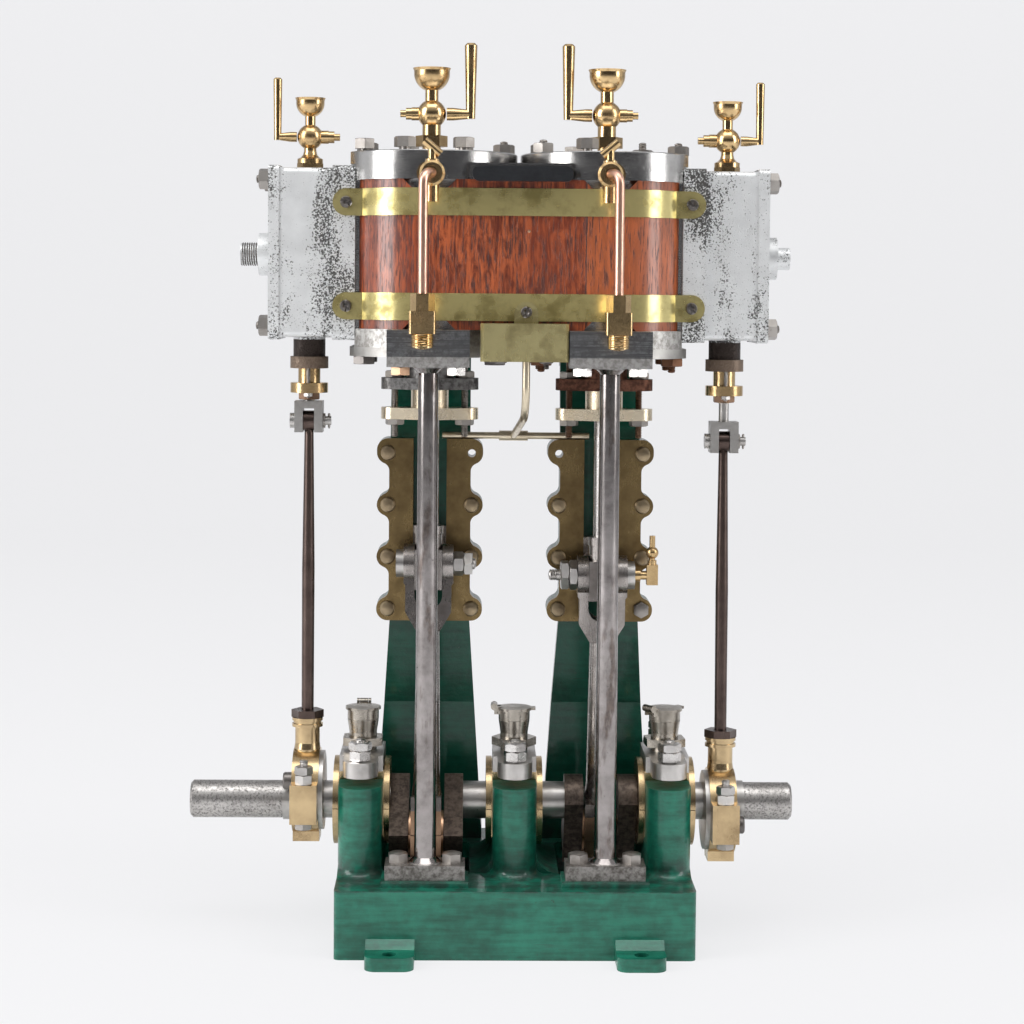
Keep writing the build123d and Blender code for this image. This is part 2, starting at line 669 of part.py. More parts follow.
def big_end_brasses(side):
    """Split brasses with thin cheeks, the lower one deep enough to be its own keep."""
    top, wide = PALM_START, PALM_DEPTH / 2
    body = block(-PALM_WIDTH / 2, PALM_WIDTH / 2, -wide, wide, -BIG_END_DROP, top)
    low_edges = body.edges().filter_by(Axis.X).group_by(Axis.Z)[0]
    body = fillet(low_edges, BIG_END_CORNER)
    body += along_x(BIG_END_FLANGE_D / 2, -BIG_END_FLANGE_WIDTH / 2, BIG_END_FLANGE_WIDTH / 2)
    body -= along_x(CRANK_PIN_D / 2 + RUNNING, -BIG_END_FLANGE_WIDTH / 2, BIG_END_FLANGE_WIDTH / 2)
    y, z = crank_pin(side)
    place = Pos(SIDE[side] * CYLINDER_X, y, z) * lean(y, ROD_CENTRES)
    reach = BIG_END_FLANGE_WIDTH
    gap = SPLIT_GAP / 2
    upper = body & block(-reach, reach, -PALM_DEPTH, PALM_DEPTH, gap, top)
    lower = body & block(-reach, reach, -PALM_DEPTH, PALM_DEPTH, -BIG_END_DROP, -gap)
    return [place * upper, place * lower]


def wrist_pin(side):
    """Pin with its head on the left and a thread for nuts on the right, or the other way round."""
    s = SIDE[side]
    half = FORK_WIDTH / 2
    pin = along_x(WRIST_PIN_D / 2, -half, half) + along_x(WRIST_HEAD_D / 2, -half - WRIST_HEAD, -half)
    pin += along_x(WRIST_THREAD_D / 2, half, half + WRIST_THREAD)
    if side == "right":
        pin = mirrored(pin)
    return Pos(s * CYLINDER_X, 0, wrist_z(side)) * pin


def wrist_oiler():
    """Right-hand wrist pin's oiler: a neck out to an upright block with a ball and stem on top."""
    start = FORK_WIDTH / 2 + WRIST_HEAD
    neck = start + WRIST_OILER_COLLAR
    inner = neck + WRIST_OILER_NECK
    middle = inner + WRIST_OILER_BLOCK / 2
    deep = WRIST_OILER_BLOCK / 2
    body = along_x(WRIST_OILER_COLLAR_D / 2, start, neck) + along_x(WRIST_OILER_NECK_D / 2, neck, inner)
    body += block(inner, inner + WRIST_OILER_BLOCK, -deep, deep, -WRIST_OILER_BELOW, WRIST_OILER_ABOVE)
    cap = WRIST_OILER_ABOVE + WRIST_OILER_CAP
    stem_top = WRIST_OILER_BALL + WRIST_OILER_BALL_D / 2 + WRIST_OILER_STEM
    body += upright(WRIST_OILER_NECK_D / 2, WRIST_OILER_ABOVE, cap, middle)
    body += Pos(middle, 0, WRIST_OILER_BALL) * Sphere(WRIST_OILER_BALL_D / 2)
    body += upright(WRIST_OILER_STEM_D / 2, cap, stem_top, middle)
    return Pos(CYLINDER_X, 0, wrist_z("right")) * body


def crosshead(side):
    """Block between the fork's cheeks, a neck up to the piston rod and the slipper behind."""
    half = FORK_GAP / 2 - SLIDING
    deep = CROSSHEAD_DEPTH / 2
    body = block(-half, half, -deep, deep, -CROSSHEAD_BELOW, CROSSHEAD_ABOVE)
    track_front = GUIDE_BACK_Y + SLIDING
    track_back = STANDARD_FACE_Y - SLIDING
    neck_top = CROSSHEAD_ABOVE + CROSSHEAD_NECK
    body += upright(CROSSHEAD_NECK_D / 2, CROSSHEAD_ABOVE, neck_top)
    body += upright(CROSSHEAD_COLLAR_D / 2, neck_top - CROSSHEAD_COLLAR, neck_top)
    body += block(-half, half, deep, track_front, -CROSSHEAD_BELOW, CROSSHEAD_ABOVE)
    web, clear = SLIPPER_WEB / 2, FORK_EYE_D / 2 + SLIDING
    body += block(-web, web, clear, track_front, -CROSSHEAD_BELOW, CROSSHEAD_ABOVE)
    body += block(-SLIPPER_WIDTH / 2, SLIPPER_WIDTH / 2, track_front, track_back,
                  -SLIPPER_LENGTH / 2, SLIPPER_LENGTH / 2)
    body -= along_x(WRIST_PIN_D / 2 + RUNNING, -half, half)
    return Pos(SIDE[side] * CYLINDER_X, 0, wrist_z(side)) * body


def piston_rod(side):
    bottom = wrist_z(side) + CROSSHEAD_ABOVE + CROSSHEAD_NECK
    return upright(PISTON_ROD_D / 2, bottom, BLOCK_Z, SIDE[side] * CYLINDER_X)


# Guides, standards and columns

def guide_bolt_heights():
    return [GUIDE_Z + (i - 1.5) * GUIDE_BOLT_PITCH - GUIDE_RAISE / 2 for i in range(4)]


def guide_edge():
    """Outline of the right-hand plate of a pair: straight inside, bossed and scalloped outside."""
    low, high = GUIDE_Z - GUIDE_LENGTH / 2, GUIDE_TOP
    heights = guide_bolt_heights()
    waist = GUIDE_WAIST / 2
    plate = Pos((GUIDE_GAP / 2 + waist) / 2, GUIDE_Z) * Rectangle(waist - GUIDE_GAP / 2, GUIDE_LENGTH)
    for z in heights:
        plate += Pos(GUIDE_BOLT_X, z) * Circle(GUIDE_BOSS_R)
    tip = GUIDE_BOLT_X + GUIDE_BOSS_R
    for low_z, high_z in ((low, heights[0]), (heights[-1], high)):
        inner = (waist + GUIDE_GAP / 2) / 2
        corner = Pos((tip + inner) / 2, (low_z + high_z) / 2) * Rectangle(tip - inner, high_z - low_z)
        far = corner.vertices().group_by(Axis.X)[-1].sort_by(Axis.Y)
        plate += fillet(far[0] if low_z == low else far[-1], GUIDE_BOSS_R)
    hollows = [v for v in plate.vertices() if abs(v.X - waist) < RUNNING and low < v.Y < high]
    return fillet(hollows, GUIDE_SCALLOP_R)


def guide_plates(side):
    """A pair of plates; the top bolt hole nearest the middle is empty."""
    plate = prism_y(guide_edge(), GUIDE_FRONT_Y, GUIDE_BACK_Y)
    s = SIDE[side]
    pair = [Pos(s * CYLINDER_X, 0, 0) * plate, Pos(s * CYLINDER_X, 0, 0) * mirrored(plate)]
    near = 1 if side == "right" else 0
    pair[near] -= empty_hole(side)
    return pair


def empty_hole(side):
    """The drilling left by the missing top inner guide bolt."""
    x = SIDE[side] * (CYLINDER_X - GUIDE_BOLT_X)
    return along_y(GUIDE_HOLE_D / 2, GUIDE_FRONT_Y, STANDARD_BACK_Y, x, guide_bolt_heights()[-1])


def standard_side(back_only=0.0):
    """Side outline of a standard's front flange, or of its web when carried back."""
    guide_low = GUIDE_Z - GUIDE_LENGTH / 2
    head_low = LUG_HEAD_Z - STANDARD_HEAD_HEIGHT
    front = [(STANDARD_HEAD_Y, LUG_HEAD_Z), (STANDARD_HEAD_Y, head_low), (STANDARD_FACE_Y, GUIDE_TOP),
             (STANDARD_FACE_Y, guide_low), (STANDARD_CLEAR_Y, STANDARD_CLEAR_Z), (STANDARD_CLEAR_Y, BED_HEIGHT)]
    if back_only:
        back = [(STANDARD_FOOT_Y, BED_HEIGHT), (STANDARD_WAIST_BACK_Y, guide_low),
                (STANDARD_WAIST_BACK_Y, GUIDE_TOP), (STANDARD_BACK_Y, head_low), (STANDARD_BACK_Y, LUG_HEAD_Z)]
    else:
        back = [(y + STANDARD_FLANGE, z) for y, z in reversed(front)]
    return polygon(*front, *back)


def standard(side):
    """T-section casting: flared front flange, rear web, foot, head and the guide seat."""
    x = SIDE[side] * CYLINDER_X
    guide_low = GUIDE_Z - GUIDE_LENGTH / 2
    top, waist, foot = STANDARD_WIDTH / 2, STANDARD_WAIST_WIDTH / 2, STANDARD_FOOT_WIDTH / 2
    front = polygon((-foot, BED_HEIGHT), (foot, BED_HEIGHT), (waist, STANDARD_WAIST_Z), (top, guide_low),
                    (top, LUG_HEAD_Z), (-top, LUG_HEAD_Z), (-top, guide_low), (-waist, STANDARD_WAIST_Z))
    body = prism_x(standard_side(), -foot, foot) & prism_y(front, 0, STANDARD_FOOT_Y)
    body += prism_x(standard_side(back_only=STANDARD_WEB), -STANDARD_WEB / 2, STANDARD_WEB / 2)
    body += block(-foot, foot, STANDARD_CLEAR_Y, STANDARD_FOOT_Y,
                  BED_HEIGHT, BED_HEIGHT + STANDARD_FOOT_THICKNESS)
    body += block(-top, top, STANDARD_HEAD_Y, STANDARD_BACK_Y, LUG_HEAD_Z - STANDARD_FOOT_THICKNESS, LUG_HEAD_Z)
    seat = prism_y(guide_edge(), GUIDE_BACK_Y, STANDARD_FACE_Y + STANDARD_FLANGE)
    seat += mirrored(seat)
    track = SLIPPER_TRACK_WIDTH / 2
    seat -= block(-track, track, 0, STANDARD_FACE_Y, guide_low, GUIDE_TOP)
    body = Pos(x, 0, 0) * (body + seat)
    return body - empty_hole(side)


def front_column(side):
    """Turned column between a foot flange on the bed's pad and a head flange under the cylinder lug."""
    x = SIDE[side] * CYLINDER_X
    foot_z = BED_HEIGHT + PAD_RISE
    foot_top = foot_z + COLUMN_FOOT
    head_z = LUG_HEAD_Z - COLUMN_HEAD
    body = Pos(0, 0, foot_z) * Box(COLUMN_FOOT_WIDTH, COLUMN_FOOT_DEPTH, COLUMN_FOOT, align=ON_FLOOR)
    body += Pos(0, 0, head_z) * Box(COLUMN_HEAD_WIDTH, COLUMN_HEAD_DEPTH, COLUMN_HEAD, align=ON_FLOOR)
    low, high = COLUMN_BOTTOM_D / 2, COLUMN_TOP_D / 2
    body += turned((low + COLUMN_FILLET, foot_top), (low, foot_top + COLUMN_FILLET),
                   (high, head_z - COLUMN_FILLET), (high + COLUMN_FILLET, head_z))
    return Pos(x, COLUMN_Y, 0) * body


# Cylinders, covers, lagging and glands

def stadium(radius):
    """Plan round both cylinder axes with flat front and back."""
    ends = Pos(-CYLINDER_X, 0) * Circle(radius) + Pos(CYLINDER_X, 0) * Circle(radius)
    return ends + Rectangle(PITCH, 2 * radius)


def flange_outline():
    """The cylinders' flanges: two discs joined between, cut flat outside."""
    plan = Pos(-CYLINDER_X, 0) * Circle(FLANGE_R) + Pos(CYLINDER_X, 0) * Circle(FLANGE_R)
    plan += Rectangle(PITCH, 2 * LAGGING_R - 2 * BAND_HEIGHT)
    return plan & Rectangle(2 * CHEST_X, 3 * FLANGE_R)


def cylinder_block():
    body = prism_z(stadium(BARREL_R), BLOCK_Z, BLOCK_TOP)
    body += prism_z(flange_outline(), BLOCK_Z, WOOD_Z)
    bridge = polygon((-BRIDGE_WIDTH / 2, -BRIDGE_DEPTH), (BRIDGE_WIDTH / 2, -BRIDGE_DEPTH),
                     (CYLINDER_X, 0), (-CYLINDER_X, 0))
    bridge += mirror(bridge, Plane.XZ)
    body += prism_z(flange_outline() + bridge, WOOD_TOP, BLOCK_TOP)
    for s in SIDE.values():
        x = s * CYLINDER_X
        half = LUG_HEAD_WIDTH / 2
        for y in (-1, 1):
            near, far = sorted((y * STANDARD_HEAD_Y, y * LUG_HEAD_Y))
            body += block(x - half, x + half, near, far, LUG_HEAD_Z, WOOD_Z)
        for z in (BLOCK_TOP - COCK_BOSS_TOP, BLOCK_Z + COCK_BOSS_BOTTOM):
            body += along_y(COCK_BOSS_D / 2, -BARREL_R - COCK_BOSS_PROUD, 0, x, z)
        inner, outer = sorted((x, s * CHEST_X))
        body += block(inner, outer, -PORT_WIDTH / 2, PORT_WIDTH / 2, WOOD_Z, WOOD_TOP)
    return body


def tie_bar():
    """Round-cornered bar screwed to the front of the web between the top flanges."""
    low = BLOCK_TOP - TIE_LOW
    middle = Pos((TIE_RIGHT - TIE_LEFT) / 2, low + TIE_HEIGHT / 2)
    face = middle * RectangleRounded(TIE_LEFT + TIE_RIGHT, TIE_HEIGHT, TIE_CORNER)
    return prism_y(face, -BRIDGE_DEPTH - TIE_THICKNESS, -BRIDGE_DEPTH)


def top_cover():
    """Right-hand cylinder's cover: chamfered disc with a low dome, flat towards the chest."""
    rise = BLOCK_TOP + TOP_COVER
    edge = TOP_COVER_DOME
    disc = turned((TOP_COVER_R, BLOCK_TOP), (TOP_COVER_R, rise - edge / 2), (TOP_COVER_R - edge / 2, rise),
                  (TOP_COVER_DOME_R, rise), (TOP_COVER_DOME_R - edge, rise + edge))
    disc &= block(-TOP_COVER_R, COVER_FLAT, -TOP_COVER_R, TOP_COVER_R, BLOCK_TOP, rise + TOP_COVER)
    return Pos(CYLINDER_X, 0, 0) * disc


def gland_outline():
    """Two-bolt gland: a round middle drawn out to smaller round ends."""
    end = GLAND_LENGTH / 2 - GLAND_END_R
    circles = Circle(GLAND_CENTRE_R) + Pos(end, 0) * Circle(GLAND_END_R) + Pos(-end, 0) * Circle(GLAND_END_R)
    return make_face(make_hull(circles.edges()))


def bottom_cover():
    """Right-hand lower cover with its stuffing box and the box's oval flange."""
    cover_z = BLOCK_Z - BOTTOM_COVER
    reach = BOTTOM_COVER_FLAT
    cover = prism_z(Circle(FLANGE_R) & Rectangle(2 * COVER_FLAT, 2 * reach), cover_z, BLOCK_Z)
    cover += upright(STUFFING_D / 2, STUFFING_BOTTOM, BLOCK_Z)
    cover += prism_z(gland_outline(), STUFFING_BOTTOM, STUFFING_BOTTOM + GLAND_SEAT)
    cover -= upright(GLAND_BARREL_D / 2 + RUNNING, STUFFING_BOTTOM, STUFFING_BOTTOM + GLAND_ENTRY + SLIDING)
    cover -= upright(PISTON_ROD_D / 2 + SLIDING, STUFFING_BOTTOM, BLOCK_Z)
    return Pos(CYLINDER_X, 0, 0) * cover


def piston_gland():
    gland = prism_z(gland_outline(), GLAND_Z, GLAND_Z + GLAND_FLANGE)
    gland += upright(GLAND_BARREL_D / 2, GLAND_Z, STUFFING_BOTTOM + GLAND_ENTRY)
    gland -= upright(PISTON_ROD_D / 2 + SLIDING, GLAND_Z, BLOCK_Z)
    return Pos(CYLINDER_X, 0, 0) * gland


def lagging():
    """Mahogany casing round both barrels, notched at the front for the cylinder cocks."""
    wood = prism_z(stadium(LAGGING_R) - stadium(BARREL_R), WOOD_Z, WOOD_TOP)
    end = CYLINDER_X + LAGGING_END
    wood &= block(-end, end, -LAGGING_R, LAGGING_R, WOOD_Z, WOOD_TOP)
    half, wide = NOTCH_WIDTH / 2, NOTCH_TOP_WIDTH / 2
    for x in (-CYLINDER_X, CYLINDER_X):
        for z, way in ((WOOD_TOP, -1), (WOOD_Z, 1)):
            slope_z, end_z = z + way * NOTCH_CHAMFER, z + way * NOTCH_DEPTH
            notch = polygon((x - wide, z), (x - half, slope_z), (x - half, end_z),
                            (x + half, end_z), (x + half, slope_z), (x + wide, z))
            wood -= prism_y(notch, -LAGGING_R, 0)
            reach = COCK_BOSS_TOP - TOP_FLANGE if way < 0 else COCK_BOSS_BOTTOM - BOTTOM_FLANGE
            wood -= along_y(COCK_BOSS_D / 2 + SLIDING, -LAGGING_R, 0, x, z + way * reach)
    side = PORT_WIDTH / 2
    for s in SIDE.values():
        inner, outer = sorted((s * CYLINDER_X, s * end))
        wood -= block(inner, outer, -side, side, WOOD_Z, WOOD_TOP)
    return wood


def band(z0):
    """One brass band's front and rear straps, each ending in a rounded tab on the chest flanges."""
    z1 = z0 + BAND_HEIGHT
    outer, inner = LAGGING_R + BAND_THICKNESS, LAGGING_R
    tab_y = CHEST_WIDTH / 2
    ring = prism_z(stadium(outer) - stadium(inner), z0, z1)
    start = CYLINDER_X + sqrt(inner ** 2 - tab_y ** 2)
    front = ring & block(-start, start, -outer, -tab_y, z0, z1)
    middle = (z0 + z1) / 2
    end = CYLINDER_X + BAND_TAB_END
    round_x = end - BAND_HEIGHT / 2
    tab = Pos((start + round_x) / 2, middle) * Rectangle(round_x - start, BAND_HEIGHT)
    tab += Pos(round_x, middle) * Circle(BAND_HEIGHT / 2)
    tab = prism_y(tab, -tab_y - BAND_THICKNESS, -tab_y)
    front += tab + mirrored(tab)
    return [front, mirror(front, Plane.XZ)]


# Valve chests and valve gear

def valve_chest():
    """Right-hand chest: flange to the cylinder, body and the spindle's stuffing box below."""
    flange_end = CHEST_X + CHEST_FLANGE
    end = flange_end + CHEST_BODY
    flange = block(CHEST_X, flange_end, -CHEST_WIDTH / 2, CHEST_WIDTH / 2, CHEST_Z, CHEST_TOP)
    flange = fillet(flange.edges().filter_by(Axis.X), CHEST_CORNER)
    half = CHEST_BODY_WIDTH / 2
    body = block(flange_end, end, -half, half, CHEST_Z + CHEST_MARGIN, CHEST_TOP - CHEST_MARGIN)
    body = fillet(body.edges().filter_by(Axis.X), CHEST_CORNER)
    boss_z = CHEST_Z - VALVE_BOSS
    collar_z = boss_z - VALVE_COLLAR
    body += upright(VALVE_BOSS_D / 2, boss_z, CHEST_Z + CHEST_MARGIN, VALVE_X)
    body += upright(VALVE_COLLAR_D / 2, collar_z, boss_z, VALVE_X)
    body -= upright(VALVE_SPINDLE_D / 2 + SLIDING, collar_z, boss_z + VALVE_SPINDLE_ENTRY, VALVE_X)
    return flange + body


def chest_cover(side):
    """Cover plate with its gasket edge, the round steam flange and the nipple."""
    start = CHEST_X + CHEST_FLANGE + CHEST_BODY
    plate_x = start + CHEST_GASKET
    end = plate_x + CHEST_COVER
    half = CHEST_BODY_WIDTH / 2
    body = block(start, plate_x, -half, half, CHEST_Z + CHEST_MARGIN, CHEST_TOP - CHEST_MARGIN)
    plate = block(plate_x, end, -half - CHEST_MARGIN / 2, half + CHEST_MARGIN / 2, CHEST_Z, CHEST_TOP)
    body += fillet(plate.edges().filter_by(Axis.X), CHEST_CORNER)
    z = CHEST_Z + STEAM_RAISE
    body += along_x(STEAM_FLANGE_D / 2, end, end + STEAM_FLANGE, 0, z)
    tip = end + STEAM_FLANGE + STEAM_NIPPLE[side]
    body += along_x(STEAM_NIPPLE_D / 2, end, tip, 0, z)
    body -= along_x(STEAM_BORE_D / 2, tip - STEAM_BORE_DEPTH, tip, 0, z)
    return body if side == "right" else mirrored(body)


def valve_gland():
    """Brass gland under the right-hand chest, round its spindle."""
    top = CHEST_Z - VALVE_BOSS - VALVE_COLLAR
    flange_top = top - VALVE_GLAND_SPACE
    flange_z = flange_top - VALVE_GLAND_FLANGE
    neck_z = flange_z - VALVE_GLAND_NECK
    body = turned((VALVE_GLAND_NECK_D / 2, neck_z), (VALVE_GLAND_NECK_D / 2, flange_z),
                  (VALVE_GLAND_FLANGE_D / 2, flange_z), (VALVE_GLAND_FLANGE_D / 2, flange_top),
                  (VALVE_GLAND_D / 2, flange_top), (VALVE_GLAND_D / 2, top))
    body -= upright(VALVE_SPINDLE_D / 2 + SLIDING, neck_z, top)
    return Pos(VALVE_X, 0, 0) * body


def valve_spindle(side):
    """Spindle, its clevis and the clevis pin with a head on the left."""
    half, deep = CLEVIS_WIDTH / 2, CLEVIS_DEPTH / 2
    body = block(-half, half, -deep, deep, -CLEVIS_BELOW, CLEVIS_ABOVE)
    slot = CLEVIS_SLOT / 2
    body -= block(-slot, slot, -deep, deep, -CLEVIS_BELOW, CLEVIS_SLOT_TOP)
    pin_end = half + VALVE_PIN_TAIL
    body += along_x(VALVE_PIN_D / 2, -half, pin_end)
    body += along_x(VALVE_PIN_HEAD_D / 2, -half - VALVE_PIN_HEAD, -half)
    z = valve_pin_z(side)
    top = CHEST_Z - VALVE_BOSS + VALVE_SPINDLE_ENTRY - z
    body += upright(VALVE_SPINDLE_D / 2, CLEVIS_ABOVE, top)
    return Pos(SIDE[side] * VALVE_X, 0, z) * body


def eccentric_rod(side):
    """Round rod from the strap's socket to a flat eye in the clevis, with its hexagon nut."""
    socket = STRAP_SOCKET_TOP
    nut_top = socket + ECC_NUT
    eye = ECC_ROD_EYE_D / 2
    top = ECC_ROD_CENTRES - eye
    middle = (nut_top + top) / 2
    rod = turned((ECC_ROD_BOTTOM_D / 2, nut_top), (ECC_ROD_MIDDLE_D / 2, middle),
                 (ECC_ROD_TOP_D / 2, top + eye / 2))
    rod += hexagon(ECC_NUT_ACROSS, socket, nut_top)
    half = CLEVIS_SLOT / 2 - SLIDING
    rod += along_x(eye, -half, half, 0, ECC_ROD_CENTRES)
    rod -= along_x(VALVE_PIN_D / 2 + RUNNING, -half, half, 0, ECC_ROD_CENTRES)
    y, z = eccentric_centre(side)
    return Pos(SIDE[side] * VALVE_X, y, z) * lean(y, ECC_ROD_CENTRES) * rod


def eccentric_strap(side):
    """Split brass strap: ring, bolting lugs front and back, toe below and socket above."""
    half = STRAP_WIDTH / 2
    ring = Circle(STRAP_OUTER_R)
    lug_height = STRAP_LUG_ABOVE + STRAP_LUG_BELOW
    ring += Pos(0, (STRAP_LUG_ABOVE - STRAP_LUG_BELOW) / 2) * Rectangle(2 * STRAP_LUG_REACH, lug_height)
    ring += Pos(0, -STRAP_TOE / 2) * Rectangle(STRAP_TOE_WIDTH, STRAP_TOE)
    strap = prism_x(ring, -half, half)
    top, step = STRAP_SOCKET_TOP, STRAP_COLLAR
    barrel, collar = STRAP_SOCKET_D / 2, STRAP_COLLAR_D / 2
    groove = (barrel + collar) / 2
    strap += turned((half, STRAP_INNER_R), (half, STRAP_OUTER_R), (barrel, STRAP_OUTER_R + STRAP_FLARE),
                    (barrel, top - 3 * step), (collar, top - 3 * step), (collar, top - 2 * step),
                    (groove, top - 2 * step), (groove, top - step), (collar, top - step), (collar, top))
    strap -= along_x(STRAP_INNER_R + RUNNING, -half, half)
    y, z = eccentric_centre(side)
    return Pos(SIDE[side] * VALVE_X, y, z) * lean(y, ECC_ROD_CENTRES) * strap


def eccentric_sheave(side):
    """Steel sheave set off the shaft's centre, flanged inboard, with a hub outboard."""
    half = STRAP_WIDTH / 2
    y, z = eccentric_centre(side)
    body = along_x(STRAP_INNER_R, -half, half, y, z)
    body += along_x(SHEAVE_FLANGE_R, -half - SHEAVE_FLANGE, -half, y, z)
    body += along_x(SHEAVE_HUB_D / 2, half, half + SHEAVE_HUB, 0, SHAFT_Z)
    body -= along_x(SHAFT_D / 2, -half - SHEAVE_FLANGE, half + SHEAVE_HUB, 0, SHAFT_Z)
    body = Pos(VALVE_X, 0, 0) * body
    return body if side == "right" else mirrored(body)


# Oilers, lubricators and their moving pieces

OILER_X = {"left": -PEDESTAL_X, "middle": 0.0, "right": PEDESTAL_X}
OILER_TOP = OILER_NECK + OILER_HEX_HEIGHT + OILER_BODY


def at_oiler(name, shape):
    """Set a piece drawn with its hinge towards +X on the named oiler."""
    return Pos(OILER_X[name], 0, CAP_TOP) * Rot(0, 0, HINGE_AZIMUTH[name]) * shape


def oiler(name):
    """Hollow cup on a hexagon, with two ears for its lid's hinge."""
    hex_z = OILER_NECK
    body_z = hex_z + OILER_HEX_HEIGHT
    low, high = OILER_D / 2, OILER_TOP_D / 2
    skirt = OILER_TOP - OILER_SKIRT
    body = turned((OILER_NECK_D / 2, 0), (OILER_NECK_D / 2, hex_z), (low, hex_z), (low, body_z + OILER_NECK),
                  (high, skirt), (high - OILER_GROOVE, skirt), (high - OILER_GROOVE, skirt + OILER_GROOVE),
                  (high, skirt + OILER_GROOVE), (high, OILER_TOP))
    body += hexagon(OILER_HEX, hex_z, body_z)
    ear_in = KNUCKLE_LENGTH / 2 + SLIDING
    axis_z = OILER_TOP + HINGE_RAISE
    root = OILER_TOP_D / 2 - OILER_WALL
    ear = Pos((root + HINGE_OUT) / 2, axis_z - HINGE_RAISE) * Rectangle(HINGE_OUT - root, 2 * HINGE_RAISE)
    ear += Pos(HINGE_OUT, axis_z) * Circle(HINGE_R)
    for y in (-ear_in - EAR_THICKNESS, ear_in):
        body += prism_y(ear, y, y + EAR_THICKNESS)
    body -= upright(OILER_D / 2 - OILER_WALL, body_z - OILER_FLOOR, OILER_TOP + 2 * HINGE_OUT)
    return at_oiler(name, body)


def oiler_lid(name):
    """Shallow domed lid with its hinge knuckle and a lifting lip opposite."""
    low = OILER_TOP + LID_REST
    high = low + LID_THICKNESS
    lid = turned((LID_D / 2, low), (LID_D / 2, high), (LID_D / 4, high + LID_DOME))
    ear = KNUCKLE_LENGTH / 2 + SLIDING
    gap = EAR_THICKNESS + 2 * SLIDING
    for y in (-ear - EAR_THICKNESS - SLIDING, ear - SLIDING):
        lid -= block(OILER_TOP_D / 2 - OILER_WALL - SLIDING, LID_D, y, y + gap, low, high + LID_THICKNESS)
    lid += block(-LID_D / 2 - LID_LIP, 0, -LID_LIP_WIDTH / 2, LID_LIP_WIDTH / 2, low, high)
    axis_z = OILER_TOP + HINGE_RAISE
    half = KNUCKLE_LENGTH / 2
    knuckle = along_y(HINGE_R, -half, half, HINGE_OUT, axis_z)
    knuckle += block(LID_D / 4, HINGE_OUT, -half, half, low, high)
    return at_oiler(name, lid + knuckle)


CUP_X = {"cylinder": CYLINDER_X, "chest": VALVE_X}
CUP_Z = {"cylinder": BLOCK_TOP + TOP_COVER + TOP_COVER_DOME, "chest": CHEST_TOP - CHEST_MARGIN}
CUP_LEVER_WAY = {"cylinder": -1, "chest": 1}


def ball_z(kind):
    """Centre of a lubricator's ball."""
    return CUP_Z[kind] + CUP[kind]["raise"]


def goblet(size):
    """Thin round-bottomed bowl with a flared rim on a waisted neck."""
    bowl, rim = size["bowl"] / 2, size["rim"] / 2
    middle, top = size["bowl_centre"], size["rim_top"]
    cup = Pos(0, 0, middle) * Sphere(bowl) & upright(bowl, 0, middle)
    cup += turned((bowl, middle), (bowl, (middle + top) / 2), (rim, top))
    cup += upright(size["neck"] / 2, 0, middle - bowl + BOWL_WALL)
    hollow = Pos(0, 0, middle) * Sphere(bowl - BOWL_WALL) & upright(bowl, 0, middle)
    inner = bowl - BOWL_WALL
    hollow += turned((inner, middle), (inner, (middle + top) / 2), (rim - BOWL_WALL, top))
    return cup - hollow


def cup_foot(kind):
    """What the ball stands on: a hexagon under the cylinder cups, a flared round foot under the chest cups."""
    size = CUP[kind]
    base = -size["raise"]
    stem = size["stem"] / 2
    nut = base + CUP_BASE
    if kind == "cylinder":
        return upright(stem, base, 0) + hexagon(size["hex"], nut, nut + size["hex_height"])
    disc = base + size["hex_height"]
    foot, top = FOOT_D / 2, disc + FOOT
    middle = (stem + foot) / 2
    turning = turned((foot, disc), (foot, top), (middle, top + FOOT_FLARE / 5),
                     (stem + FOOT / 4, top + FOOT_FLARE / 2), (stem, top + FOOT_FLARE), (stem, 0))
    return turning + hexagon(size["hex"], base, disc)


def oil_cup(kind):
    """Right-hand lubricator: foot, ball, the nutted end of its plug, neck and goblet."""
    size = CUP[kind]
    radius = size["ball"] / 2
    body = Sphere(radius) + cup_foot(kind) + goblet(size)
    way = -CUP_LEVER_WAY[kind]
    nut, tip = PLUG_NUT_D / 2, PLUG_TIP_D / 2
    end = radius + PLUG_NUT
    for r, x in ((nut, end), (nut - LEVER_PLUG_GAP, end + PLUG_NUT), (tip, end + 2 * PLUG_NUT)):
        body += along_x(r, min(0, way * x), max(0, way * x))
    return Pos(CUP_X[kind], 0, ball_z(kind)) * body


def cup_lever(kind):
    """Right-hand plug lever: collar by the ball, tapered arm and a handle that widens to its top."""
    size = CUP_LEVER[kind]
    start = CUP[kind]["ball"] / 2 + LEVER_PLUG_GAP
    arm, collar, tip = size["arm"] / 2, size["collar"] / 2, size["tip"] / 2
    bevel = arm / 2
    plug = turned((collar, start), (collar, start + LEVER_COLLAR), (arm, size["reach"]))
    handle = turned((size["lower"] / 2, -arm), (tip, size["top"] - bevel), (tip - bevel, size["top"]))
    lever = Rot(0, 90, 0) * plug + Pos(size["reach"], 0, 0) * handle
    if CUP_LEVER_WAY[kind] < 0:
        lever = mirrored(lever)
    return Pos(CUP_X[kind], 0, ball_z(kind)) * lever


# Oil box, oil pipes and cylinder cocks

